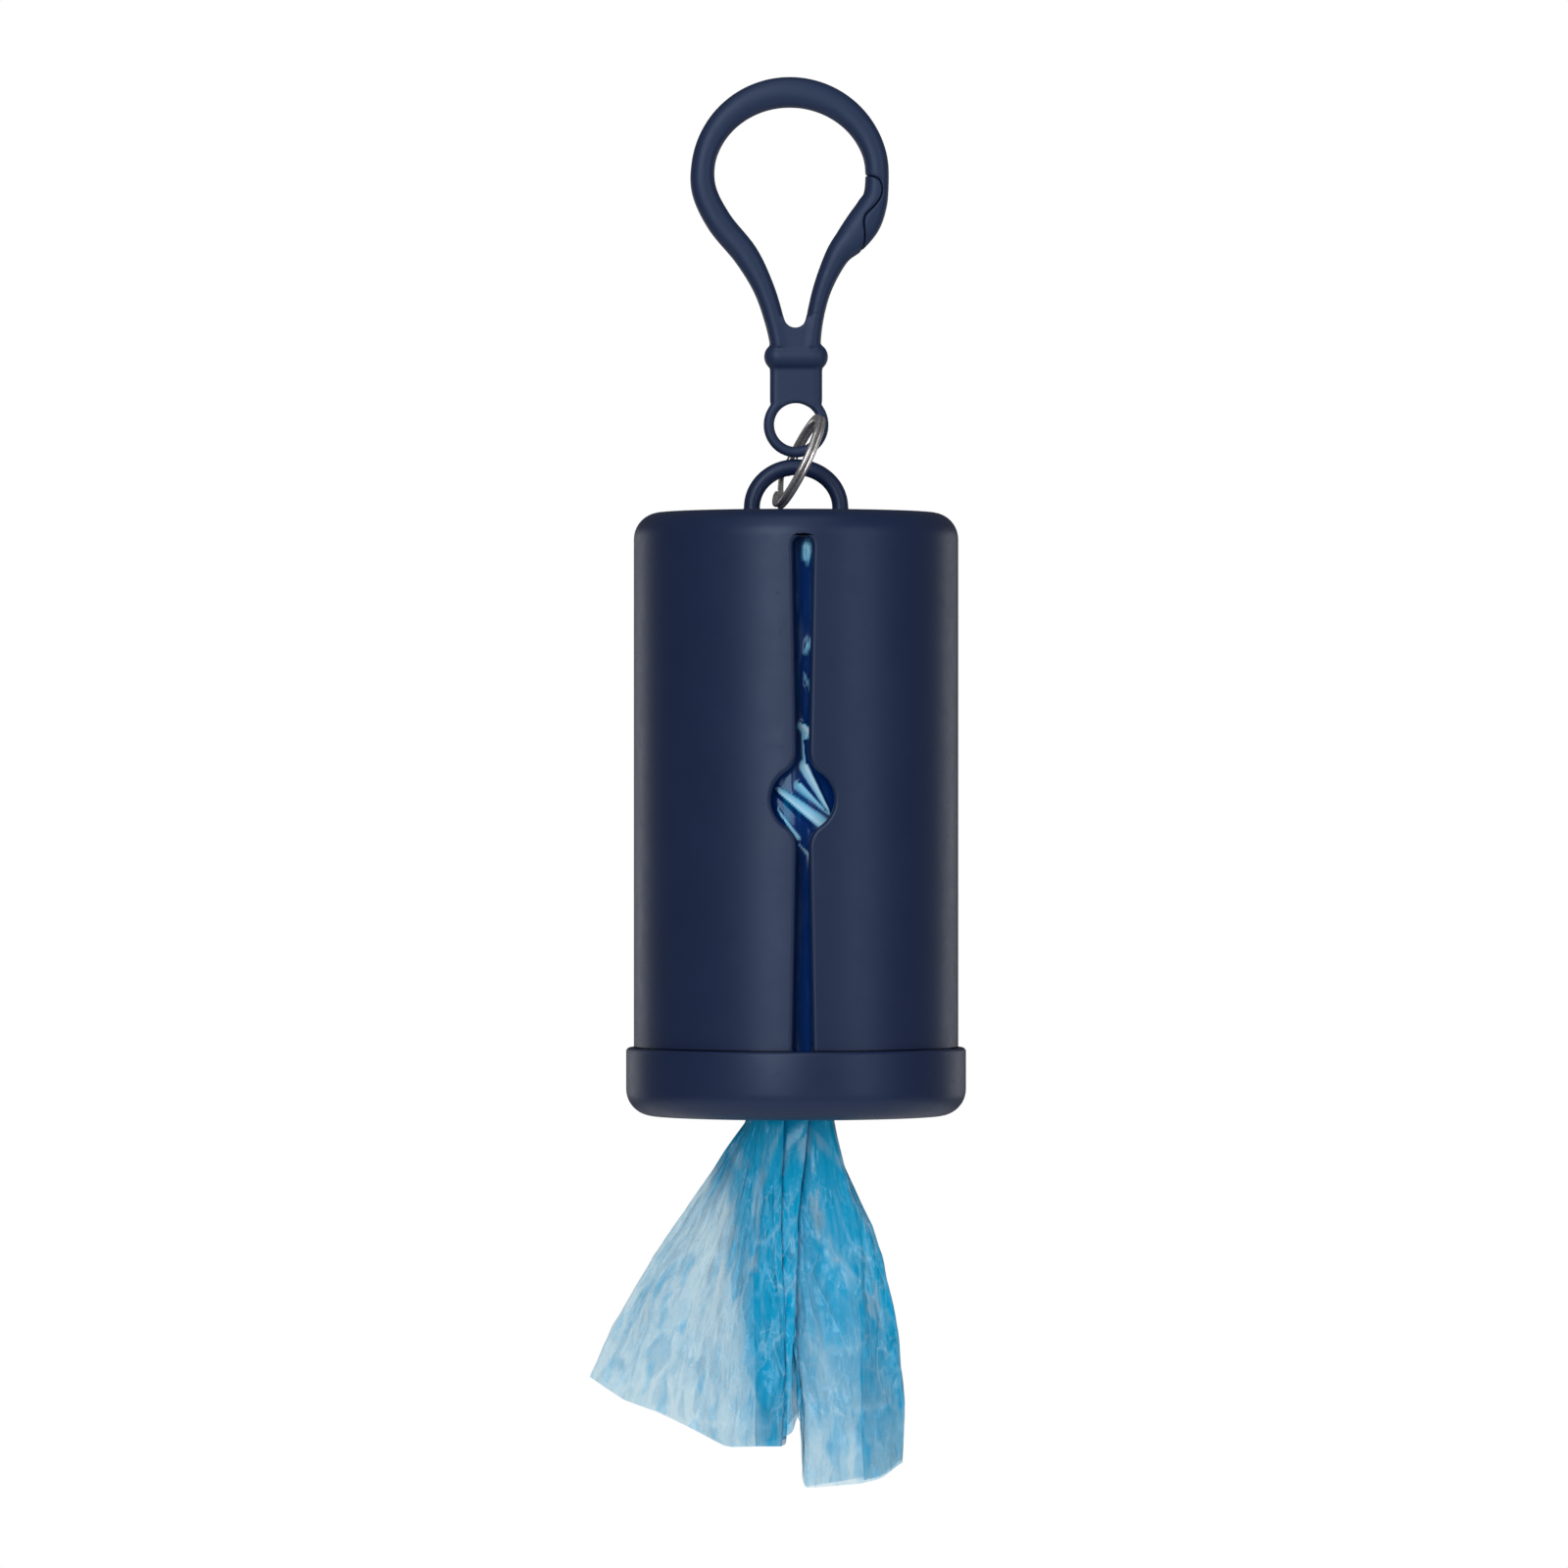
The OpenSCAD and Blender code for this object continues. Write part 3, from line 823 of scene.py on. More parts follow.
neck_rows = [(neck_in, neck_root), (neck_in, neck_end_z + in_bevel),
             (neck_in + in_bevel, neck_end_z), (neck_r - out_bevel, neck_end_z),
             (neck_r, neck_end_z + out_bevel), (neck_r, neck_root)]
gap_turn = math.asin(slot_end_r / neck_r)
neck_turns = np.linspace(gap_turn, 2 * math.pi - gap_turn, 145)
shell.tube(np.swapaxes(turned(neck_rows, neck_turns), 0, 1))
print(f"arch {2 * arch_half + arch_rod:.1f} mm wide, neck {2 * neck_r:.1f} mm across")


# %% Housing piece
sharp_angle = math.radians(50)


def read(items, name, count, kind=float):
    """One property of a mesh's points or corners as an array with a row for each."""
    values = np.zeros(len(items) * count, kind)
    items.foreach_get(name, values)
    return values.reshape(-1, count)


def true_cylinder(mesh, radius, low_z, high_z):
    """Gives the points of a straight wall the cylinder's own normals, so no triangle shows."""
    mesh.set_sharp_from_angle(angle=sharp_angle)
    normals = read(mesh.corner_normals, "vector", 3)
    corners = read(mesh.loops, "vertex_index", 1, int)[:, 0]
    at = read(mesh.vertices, "co", 3)[corners] / MM
    distance = np.hypot(at[:, 0], at[:, 1])
    near = 0.01
    on_wall = (abs(distance - radius) < near) & (abs(normals[:, 2]) < 0.5)
    on_wall &= (at[:, 2] > low_z - near) & (at[:, 2] < high_z + near)
    normals[on_wall] = points_of(at[:, 0], at[:, 1], 0)[on_wall] / radius
    mesh.normals_split_custom_set(normals.tolist())
    return int(on_wall.sum())


housing_mesh = shell.mesh()
true_corners = true_cylinder(housing_mesh, body_r, shoulder_z, top_z - edge_r)
print("corners with true normals:", true_corners)
housing = piece("housing_shell", housing_mesh, housing_plastic)
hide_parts("housing")
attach(housing, "housing")

# %% [markdown]
# ## Cap
# The cap screws on below. It is a turned shape all round: a skirt with a rounded rim, a bottom
# corner as round as the housing's top, and a hole with a full round lip, so that the film doesn't
# tear. One closed profile is turned round the axis.

# %% Cap
cap_wall = 1.5
cap_floor = 1.8
cap_hole_r = 6.5
rim_round = 0.5
inner_rim_round = 0.2
floor_round = 0.5
floor_top_z = cap_bottom_z + cap_floor
lip_round = cap_floor / 2
skirt_r = cap_r - cap_wall
cap_profile = arc((cap_hole_r + lip_round, cap_bottom_z + lip_round), lip_round, 90, 270, 16)
cap_profile += [(11.0, cap_bottom_z), (15.0, cap_bottom_z)]
cap_profile += arc((cap_r - edge_r, cap_bottom_z + edge_r), edge_r, -90, 0, 12)
cap_profile += arc((cap_r - rim_round, rim_z - rim_round), rim_round, 0, 90, 6)
cap_profile += arc((skirt_r + inner_rim_round, rim_z - inner_rim_round), inner_rim_round,
                   90, 180, 3)
cap_profile += arc((skirt_r - floor_round, floor_top_z + floor_round), floor_round, 0, -90, 4)
cap_profile += [(12.0, floor_top_z)]
cap_turns = np.linspace(0, 2 * math.pi, 168, endpoint=False)
cap_rows = [[(r * math.cos(a), r * math.sin(a), z) for a in cap_turns] for r, z in cap_profile]
cap_mesh = Shape().grid(cap_rows + cap_rows[:1], ring=True).mesh()
cap_mesh.set_sharp_from_angle(angle=sharp_angle)
cap = piece("cap_shell", cap_mesh, housing_plastic)
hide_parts("end_cap")
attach(cap, "cap")

# %% [markdown]
# ## A tree for what is wound
# The threads, the split ring and the edges of the film on the roll's ends all are a small section
# carried along a spiral. One Geometry Nodes tree makes them: its inputs are the radii, the number
# of turns, how far the wire climbs and on which part of its length, and the section.


# %% Winding tree
def winding_tree():
    """A section with rounded corners carried along a spiral."""
    group = bpy.data.node_groups.new("winding", "GeometryNodeTree")
    group.interface.new_socket("Geometry", in_out="OUTPUT", socket_type="NodeSocketGeometry")
    kinds = dict.fromkeys(("Start Radius", "End Radius", "Turns", "Climb", "Climb Start",
                           "Climb End", "Across", "Along Axis", "Corner"), "Float")
    for name, kind in {**kinds, "Steps": "Int", "Finish": "Material"}.items():
        group.interface.new_socket(name, in_out="INPUT", socket_type="NodeSocket" + kind)
    entry = group.nodes.new("NodeGroupInput").outputs
    given = {socket.name: Term(group, socket) for socket in entry}
    node = Tree(group).node
    spiral = node("GeometryNodeCurveSpiral", None, {
        "Resolution": given["Steps"], "Rotations": given["Turns"], "Height": 0.0,
        "Start Radius": given["Start Radius"], "End Radius": given["End Radius"]})
    share = node("GeometryNodeSplineParameter")
    climb = node("ShaderNodeMapRange", None, {
        "Value": share, "From Min": given["Climb Start"], "From Max": given["Climb End"],
        "To Max": given["Climb"]})
    lifted = node("GeometryNodeSetPosition", None, {
        "Geometry": spiral, "Offset": node("ShaderNodeCombineXYZ", None, {"Z": climb})})
    upright = node("GeometryNodeSetCurveNormal", {"mode": "Z_UP"}, {"Curve": lifted})
    section = node("GeometryNodeCurvePrimitiveQuadrilateral", None, {
        "Width": given["Across"], "Height": given["Along Axis"]})
    section = node("GeometryNodeFilletCurve", {"mode": "POLY"}, {
        "Curve": section, "Radius": given["Corner"], "Count": 3})
    wire = node("GeometryNodeCurveToMesh", None, {
        "Curve": upright, "Profile Curve": section, "Fill Caps": True})
    whole = node("GeometryNodeRealizeInstances", None, {"Geometry": wire})
    painted = node("GeometryNodeSetMaterial", None, {
        "Geometry": whole, "Material": given["Finish"]})
    node("NodeGroupOutput", None, {0: painted})
    return group


winding = winding_tree()


def wound(place, finish, **sizes):
    """Grows one winding from sizes in millimetres and puts it in its place."""
    host = added("winding", bpy.data.meshes.new("winding"))
    modifier = host.modifiers.new("winding", "NODES")
    modifier.node_group = winding
    plain = ("turns", "climb_start", "climb_end", "steps")
    for item in winding.interface.items_tree:
        key = item.name.lower().replace(" ", "_")
        if key in sizes:
            modifier[item.identifier] = sizes[key] if key in plain else sizes[key] * MM
    modifier[winding.interface.items_tree["Finish"].identifier] = finish
    made = evaluated(host)
    made.transform(place)
    for polygon in made.polygons:
        polygon.use_smooth = True
    made.set_sharp_from_angle(angle=math.radians(60))
    return made


print("winding tree:", len(winding.nodes), "nodes")

# %% [markdown]
# ## Threads
# The cap holds by a coarse screw thread with a lead of 6 mm, right handed, the same in the packed
# model's joint. The neck carries one ridge outside and the skirt one inside, half a lead apart, so
# that they pass each other.

# %% Threads
thread_lead = 6.0
ridge_out = 0.5
ridge_h = 0.9


def thread(name, radius, start_z, turns, start_turn):
    """One ridge that climbs by the thread's lead in each turn."""
    place = Matrix.Translation((0, 0, start_z * MM)) @ Matrix.Rotation(start_turn, 4, "Z")
    mesh = wound(place, housing_plastic, start_radius=radius, end_radius=radius, turns=turns,
                 steps=96, climb=thread_lead * turns, climb_start=0.0, climb_end=1.0,
                 across=ridge_out, along_axis=ridge_h, corner=0.2)
    return piece(name, mesh, housing_plastic)


slot_turn = gap_turn + 0.03
neck_thread = thread("neck_thread", neck_r, neck_end_z + 0.9, 0.77, -math.pi / 2 + slot_turn)
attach(neck_thread, "housing")
cap_thread = thread("cap_thread", skirt_r, neck_end_z + 1.6, 0.6, math.pi)
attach(cap_thread, "cap")

# %% [markdown]
# ## Split ring
# A flat wire is wound nearly two turns, so that the turns lie against each other and cross over on
# one short stretch. It passes through the clip's eye and under the arch, leaning to the left, as
# in the photograph. The same tree winds it, and then it is turned into its place.

# %% Split ring
wire_w = 1.0
wire_t = 0.54
turn_gap = 0.08
ring_r = 5.8
ring_lean = math.radians(25.27)
ring_yaw = math.radians(7.3)
chord_angle = math.radians(48.7)
ring_sweep = 684
crossover = (331, 358)
eye_z = -39.1
rest_x = 1.6
rest_drop = 0.49
ring_u = Vector((math.sin(ring_lean), 0, math.cos(ring_lean)))
ring_side = Vector((ring_u.z, 0, -ring_u.x))
ring_v = Vector((0, -math.cos(ring_yaw), 0)) + math.sin(ring_yaw) * ring_side
ring_axis = ring_u.cross(ring_v)
ring_centre = (Vector((rest_x, 0, eye_z - rest_drop)) - ring_r * math.sin(chord_angle) * ring_u
               + ring_r * math.cos(chord_angle) * ring_v)
ring_place = Matrix.Translation(ring_centre * MM) @ Matrix(
    (ring_u, ring_v, ring_axis)).transposed().to_4x4()
ring_step = wire_t + turn_gap
first_turn = math.radians(216)
ring_place = ring_place @ Matrix.Rotation(first_turn, 4, "Z") @ Matrix.Translation(
    (0, 0, -ring_step / 2 * MM))
ring_mesh = wound(ring_place, wire_finish, start_radius=ring_r, end_radius=ring_r,
                  turns=ring_sweep / 360, steps=120, climb=ring_step,
                  climb_start=crossover[0] / ring_sweep, climb_end=crossover[1] / ring_sweep,
                  across=wire_w, along_axis=wire_t, corner=0.24)
ring = piece("ring_wire", ring_mesh, wire_finish)
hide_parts("split_ring")
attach(ring, "ring")
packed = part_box("split_ring")
places = np.array([v.co for v in ring_mesh.vertices])
print("ring off the packed ring by (mm):",
      np.round((places.min(0) - packed[0]) / MM, 2), np.round((places.max(0) - packed[1]) / MM, 2))

# %% [markdown]
# ## Clip
# The clip is one soft moulding: a round hook whose right arm can flex, a web, a bead like a
# collar, a flat strap and an eye. The hook is a flattened section carried along its middle line,
# and the other forms are simple solids. A fine voxel remesh joins them into one skin, and a little
# smoothing rounds the inner corners as a mould's fillets do. The arm that flexes is split from the
# body along the S-shaped seam at the nose. At its root there is no seam on the real clip, so there
# each of the two dives gently under the other.

# %% Hook line
loop_x = -0.75
loop_r = 12.25
loop_in = (9.35, 8.45)
loop_z = -8.45
web_z = eye_z + 9.6
collar_z = eye_z + 8.4
arm_drop = loop_z - web_z
hook_depth = 3.3


def by_share(x_share, drop_share):
    """A point of the arms, given as shares of the loop's radius and of the drop to the web."""
    return x_share * loop_r, loop_z - drop_share * arm_drop


left_arm = [(-0.15, 1.2, 1.2), (-0.163, 1, 1.2), (-0.229, 0.824, 1.22), (-0.335, 0.644, 1.33),
            (-0.51, 0.458, 1.58), (-0.767, 0.273, 1.62), (-0.922, 0.093, 1.55)]
right_arm = [(0.808, 0.093, 1.5), (0.76, 0.183, 1.85), (0.678, 0.273, 2.1), (0.555, 0.368, 1.95),
             (0.416, 0.463, 1.5), (0.273, 0.644, 1.17), (0.192, 0.824, 1.08), (0.147, 1, 1.2),
             (0.13, 1.2, 1.2)]
loop_rows = []
for degrees in range(172, 9, -18):
    a = math.radians(degrees)
    outer = np.array((loop_r * math.cos(a), loop_r * math.sin(a)))
    inner = np.array((loop_in[0] * math.cos(a), loop_in[1] * math.sin(a)))
    middle = (outer + inner) / 2
    loop_rows.append((loop_x + middle[0], loop_z + middle[1], np.linalg.norm(outer - inner) / 2))
hook_rows = [(*by_share(x, d), w) for x, d, w in left_arm] + loop_rows
hook_rows += [(*by_share(x, d), w) for x, d, w in right_arm]
hook_line = through(hook_rows, 8)
print(f"hook line: {len(hook_line)} stations, {2 * hook_line[:, 2].min():.2f} mm at its thinnest")


# %% Hook sweep
def flattened(value, exponent=0.86):
    """Cosine or sine bent outwards, for a section between an ellipse and a box."""
    return np.sign(value) * np.abs(value) ** exponent


def hook_sweep():
    """The hook as a tube of flattened sections."""
    turns = np.linspace(0, 2 * math.pi, 48, endpoint=False)
    ahead = unit(np.gradient(hook_line[:, :2], axis=0))
    across = flattened(np.cos(turns))
    depth = flattened(np.sin(turns)) * hook_depth / 2
    rings = [points_of(x - w * across * az, depth, z + w * across * ax)
             for (x, z, w), (ax, az) in zip(hook_line, ahead)]
    return Shape().tube(rings).mesh()


seam_lean = 0.14


def prism(outline_points):
    """A closed outline in the x, z plane made into a block that leans a little on its way back."""
    rings = [[(x - seam_lean * y, y, z) for x, z in outline_points]
             for y in (-hook_depth, hook_depth)]
    return Shape().tube(rings).mesh()


seam_gap = 0.12
seam_shares = [(0.5, -0.06), (0.6, -0.02), (0.705, -0.002), (0.774, 0.01), (0.818, 0.028),
               (0.843, 0.08), (0.814, 0.135), (0.745, 0.183), (0.675, 0.224), (0.656, 0.268),
               (0.665, 0.325), (0.669, 0.378), (0.656, 0.42), (0.64, 0.5), (0.62, 0.58)]
seam_line = through([by_share(*s) for s in seam_shares], 8)
body_seam = seam_line + seam_gap * leftwards(unit(np.gradient(seam_line, axis=0)))
gate_back = [(0.08, 0.748), (0.1, 0.58), (0.2, 0.42), (0.42, 0.2), (0.48, 0)]
gate_root = [(0.5, 0.748), (0.36, 0.87), (0.02, 0.87)]
body_root = [(0.5, 0.6), (0.36, 0.745)]
gate_block = prism(np.vstack([seam_line, [by_share(*s) for s in gate_root + gate_back]]))
body_block = prism(np.vstack([body_seam, [by_share(*s) for s in body_root + gate_back]]))


def cut(mesh, block, operation):
    """A mesh less a block, or the part of it inside the block."""
    tool = added("block", block)
    made = reworked(mesh, ("BOOLEAN", {"object": tool, "operation": operation, "solver": "EXACT"}))
    bpy.data.objects.remove(tool)
    return made


body_arm = cut(hook_sweep(), body_block, "DIFFERENCE")
gate_arm = cut(hook_sweep(), gate_block, "INTERSECT")
print(f"body arm {len(body_arm.polygons)} faces, gate arm {len(gate_arm.polygons)} faces")

# %% Web, collar, strap and eye
eye_hole_r = 2.72
eye_wall = 1.28
strap_w = 6.45
strap_t = 2.0
collar_t = 3.5
collar_half = (7.9 - collar_t) / 2
crotch_z = web_z + 3.75
strap_end_z = eye_z + 2.2
lower = Shape()
web_line = [(-1.9, collar_z), (1.7, collar_z), (1.7, crotch_z)]
web_line += arc((-0.15, crotch_z), 1.4, 0, -180, 12) + [(-1.9, crotch_z)]
web_half = hook_depth / 2 - 0.15
lower.tube([[(x, y, z) for x, z in web_line] for y in (-web_half, web_half)])
bead = [(-collar_half - collar_t / 2 * math.cos(t), collar_t / 2 * math.sin(t))
        for t in np.linspace(0.02, math.pi / 2, 12)]
bead += [(-x, r) for x, r in bead[::-1]]
lower.tube([[(x, r * math.cos(t), collar_z + r * math.sin(t)) for t in round_turn]
            for x, r in bead])


def rounded_box(width, height, corner):
    """Outline of a rectangle with rounded corners, about its middle."""
    w, h = width / 2 - corner, height / 2 - corner
    corners = ((w, h), (-w, h), (-w, -h), (w, -h))
    return [p for i, c in enumerate(corners) for p in arc(c, corner, 90 * i, 90 * i + 90, 6)]


strap_section = rounded_box(strap_w, strap_t, strap_t * 0.4)
strap_rows = [(collar_z, 1.0), (strap_end_z + 0.6, 1.0), (strap_end_z, 0.93)]
strap = Shape().tube([[(x * s, y, z) for x, y in strap_section] for z, s in strap_rows]).mesh()
eye_hole = Shape().tube([[(eye_hole_r * math.cos(t), y, eye_z + eye_hole_r * math.sin(t))
                          for t in round_turn] for y in (-3, 3)]).mesh()
strap = cut(strap, eye_hole, "DIFFERENCE")
eye_middle = eye_hole_r + eye_wall / 2
eye_section = rounded_box(eye_wall, strap_t, eye_wall * 0.42)
eye_turns = np.linspace(0, 2 * math.pi, 97)
lower.grid([[((eye_middle + r) * math.sin(a), y, eye_z + (eye_middle + r) * math.cos(a))
             for r, y in eye_section] for a in eye_turns], ring=True)
lower_mesh = lower.mesh()
print(f"eye {2 * (eye_hole_r + eye_wall):.2f} mm across with a {2 * eye_hole_r:.2f} mm hole")


# %% One moulded skin
def moulded(mesh, voxel):
    """Joins overlapping solids into one skin and rounds its corners a little."""
    skin = {"mode": "VOXEL", "voxel_size": voxel * MM, "use_smooth_shade": True}
    return reworked(mesh, ("REMESH", skin), ("SMOOTH", {"factor": 0.5, "iterations": 8}))


def joined(*meshes):
    """Several meshes as one."""
    work = bmesh.new()
    for mesh in meshes:
        work.from_mesh(mesh)
    made = bpy.data.meshes.new("joined")
    work.to_mesh(made)
    work.free()
    return made


def dive(mesh, sign, start_z, least_x):
    """Thins an arm's root towards its middle line, more and more past a height."""
    rate = 0.14
    least_share = 0.35
    highest_z = -22.0
    centre = hook_line[len(hook_line) // 2:]
    centre = centre[np.argsort(centre[:, 1])]
    for vertex in mesh.vertices:
        x, y, z = vertex.co / MM
        past = sign * (z - start_z)
        if past > 0 and x > least_x and z < highest_z:
            middle = np.interp(z, centre[:, 1], centre[:, 0])
            keep = max(least_share, 1 - rate * past)
            vertex.co.x = (middle + (x - middle) * keep) * MM
            vertex.co.y = y * keep * MM
    return mesh


clip_skin = moulded(joined(body_arm, lower_mesh, strap), 0.15)
clip_skin = dive(clip_skin, sign=1, start_z=-25.55, least_x=0.9)
gate_skin = dive(moulded(gate_arm, 0.13), sign=-1, start_z=-25.25, least_x=-9)
clip = piece("clip_moulding", clip_skin, clip_plastic)
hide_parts("clip_body")
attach(clip, "clip")
gate = piece("clip_arm", gate_skin, clip_plastic)
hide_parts("clip_gate")
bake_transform(gate)

# %% [markdown]
# ## Leading bag
# The first bag leaves the roll behind the slot, runs down its front and under it, is gathered
# through the cap's hole and hangs out flared. On the real object it is a flat tube of film folded
# lengthwise. Here it is one skin: at every height a closed loop of points follows the folds, whose
# tracks were read off the photograph, and between two folds the film waves and crumples. Each row
# holds the same number of points, so the rows join into one grid from the roll's top to the hem.

# %% Fold tracks of the hanging part
gather_z = cap_bottom_z
right_side = [(852, 1144), (855, 1160), (862, 1190), (876, 1220), (891, 1250), (901, 1280),
              (907, 1310), (913, 1340), (918, 1370), (923, 1400), (926, 1430)]
left_side = [(761, 1144), (755, 1152), (749, 1160), (738, 1175), (728, 1190), (706, 1220),
             (685, 1250), (666, 1280), (648, 1310), (631, 1340), (614, 1370)]
inner_fold = [(812, 1144), (805, 1240), (803, 1305), (808, 1355), (814, 1417), (819, 1450)]


def track(*places, low_y=1350):
    """A fold's track from three x at set heights and the (x, y) of its end at the hem."""
    *rest, end_x, end_y = places
    return [*zip(rest, (1144, 1250, low_y)), (end_x, end_y)]


# Each fold: its track, how far back it lies (y in mm) at the gather and at the hem, how many
# layers of film it stands for, and how far down the film stays gathered.
folds = [
    (inner_fold + [(820, 1518)], -1.0, -0.6, 1.0, 0.55),
    (track(842, 860, 872, 877, 1513), -3.0, -1.8, 1.1, 0.6),
    (track(848, 876, 893, 901, 1507), -2.4, -1.6, 1.1, 0.6),
    (right_side + [(926, 1460), (924, 1490)], 0.0, -0.6, 1.2, 0.7),
    (track(847, 875, 892, 901, 1506), -0.6, -0.7, 1.2, 0.7),
    (track(846, 864, 875, 878, 1511), -1.0, -0.9, 1.2, 0.7),
    (track(847, 874, 892, 900, 1506), 0.2, -0.2, 1.2, 0.7),
    ([(x - 2, y) for x, y in right_side] + [(924, 1460), (922, 1488)], 1.2, 0.4, 1.1, 0.6),
    (track(846, 874, 891, 900, 1505), 2.0, 0.9, 1.0, 0.5),
    ([(x + 2, y) for x, y in inner_fold] + [(821, 1518)], 2.5, 0.8, 1.0, 0.5),
    (track(808, 802, 806, 818, 1437), 2.0, 1.4, 2.0, 0.8),
    (track(792, 787, 785, 790, 1475), 1.5, 2.2, 0.2, 0.9),
    (track(822, 812, 808, 806, 1467), 3.2, 1.5, 3.4, 0.9),
    (track(798, 800, 803, 802, 1477), 2.0, 2.4, 2.0, 0.8),
    (track(774, 764, 750, 742, 1477), 3.0, 2.2, 1.2, 0.35),
    (track(770, 749, 728, 709, 1460, low_y=1340), 2.5, 1.9, 1.0, 0.3),
    (track(766, 733, 705, 672, 1442, low_y=1330), 2.0, 1.6, 1.0, 0.2),
    (track(763, 711, 668, 636, 1428, low_y=1330), 1.0, 0.9, 1.0, 0.2),
    (left_side + [(598, 1402)], 0.0, 0.0, 0.9, 0.15),
    (track(764, 712, 669, 637, 1428, low_y=1330), -1.0, -0.8, 1.0, 0.2),
    (track(767, 735, 707, 674, 1440, low_y=1330), -2.0, -1.5, 1.0, 0.2),
    (track(772, 750, 729, 708, 1458, low_y=1340), -2.7, -1.8, 1.0, 0.3),
    (track(778, 766, 751, 740, 1475), -3.5, -2.0, 1.2, 0.35),
    (track(800, 800, 803, 801, 1475), -3.6, -1.6, 2.0, 0.8),
    (track(780, 770, 766, 768, 1475), -1.5, -1.0, 0.2, 0.9),
    (track(826, 815, 810, 808, 1462), -3.0, -2.0, 3.4, 0.9),
    (track(812, 806, 808, 818, 1440), -2.0, -1.2, 2.0, 0.8),
]
bag_columns = 320
fold_lines = [np.array([spot(*p) for p in line]) for line, *_ in folds]
hem_ends = np.array([line[-1] for line in fold_lines])
spans = np.linalg.norm(np.roll(hem_ends, -1, axis=0) - hem_ends, axis=1)
share = np.concatenate([[0], np.cumsum(spans)]) / spans.sum()
column = np.arange(bag_columns) / bag_columns
span_of = np.searchsorted(share, column, side="right") - 1
span_at = (column - share[span_of]) / (share[span_of + 1] - share[span_of])
print(f"hem: {spans.sum():.0f} mm of film in {len(spans)} spans between folds")


# %% Hanging rows
def rounded_folds(values, reach):
    """Values round the loop, averaged over a few neighbours so that folds aren't knife sharp."""
    weight = np.hanning(2 * reach + 3)[1:-1]
    wrapped = np.concatenate([values[-reach:], values, values[:reach]])
    return np.convolve(wrapped, weight / weight.sum(), "valid")


belly_flat = 9


def hanging_row(t):
    """Points of the loop at a share of the way from the gather to the hem."""
    corners = []
    for line, (_, top, hem, *_) in zip(fold_lines, folds):
        z = gather_z + (line[-1, 1] - gather_z) * t
        corners.append((np.interp(-z, -line[:, 1], line[:, 0]),
                        top + (hem - top) * smooth_step(t, 0, 0.9), z))
    corners = np.array(corners)
    after = np.roll(corners, -1, axis=0)
    s = span_at[:, None]
    row = corners[span_of] * (1 - s) + after[span_of] * s
    side = np.sign(after[span_of, 1] + corners[span_of, 1] + 0.01)
    belly = np.sin(math.pi * span_at) * spans[span_of] / belly_flat * math.sin(math.pi * t ** 0.7)
    row[:, 1] += belly * side
    return points_of(*(rounded_folds(row[:, i], 2) for i in range(3)))


tail_rows = 132
hanging = np.array([hanging_row(t) for t in np.linspace(0, 1, tail_rows) ** 0.85])
print(f"hanging part: x {hanging[..., 0].min():.1f} to {hanging[..., 0].max():.1f} mm, "
      f"y {hanging[..., 1].min():.1f} to {hanging[..., 1].max():.1f} mm")

# %% [markdown]
# Inside the housing the film is a flat tube of two layers that lies on the roll and covers the
# front. It bends inwards under the roll and narrows to the gather. The loop's points change place
# gradually between the flat tube and the gathered bunch.

# %% Rows inside the housing
front_r = 16.6
front_half = math.radians(38)
under_z = cap_bottom_z + 2.35
bend_r = 0.7
layer_half = 0.16
front_over = 2.1
flat_x = np.cos(2 * math.pi * column)
flat_x = np.sign(flat_x) * (1 - (1 - np.abs(flat_x)) ** 0.55)
flat_layer = np.tanh(4 * np.sin(2 * math.pi * column))
top_loop = hanging[0]
front_rows = []
hole_rows = spot(0, 735)[1], spot(0, 872)[1]
front_z = np.concatenate([np.linspace(roll_top_z + front_over, hole_rows[0], 36)[:-1],
                          np.linspace(*hole_rows, 66),
                          np.linspace(hole_rows[1], under_z + bend_r, 26)[1:]])
angle = flat_x * front_half
radius = front_r + layer_half * flat_layer
for z in front_z:
    front_rows.append(points_of(radius * np.sin(angle), -radius * np.cos(angle), z))
start = front_rows[-1]
for turn in np.linspace(0, math.pi / 2, 7)[1:]:
    inwards = 1 - bend_r * (1 - math.cos(turn)) / front_r
    row = start * [inwards, inwards, 1]
    row[:, 2] -= bend_r * math.sin(turn) + 0.1 * flat_layer * math.sin(turn)
    front_rows.append(row)
start = front_rows[-1]
bunch = top_loop * [0.93, 0.9, 0]
for t in np.linspace(0, 1, 20)[1:]:
    way = 1 - (1 - t) ** 1.5
    row = start * (1 - way) + bunch * way
    row[:, 2] = start[:, 2] - smooth_step(t, 0.72, 1) * 0.6
    front_rows.append(row)
start = front_rows[-1]
for t in np.linspace(0, 1, 9)[1:-1]:
    row = bunch * (1 - t) + top_loop * t
    row[:, 2] = start[:, 2] * (1 - t) + gather_z * t
    front_rows.append(row)
inside_rows = np.array(front_rows)
bag_grid = np.concatenate([inside_rows, hanging])
print(f"bag grid: {bag_grid.shape[0]} rows of {bag_grid.shape[1]} points")

# %% [markdown]
# Thin film doesn't stretch, so when it is gathered it breaks into long creases that fan out from
# the gather, with flat facets between them. Each facet here is a side of a low pyramid: every
# point looks for its nearest seed, by a distance whose rings are polygons drawn out along the
# pull, and stands as high as that distance. Where two seeds are equally near there is a crease.
# Three sizes of pyramid are added, and they get flatter towards the gather, where the film is
# drawn together.

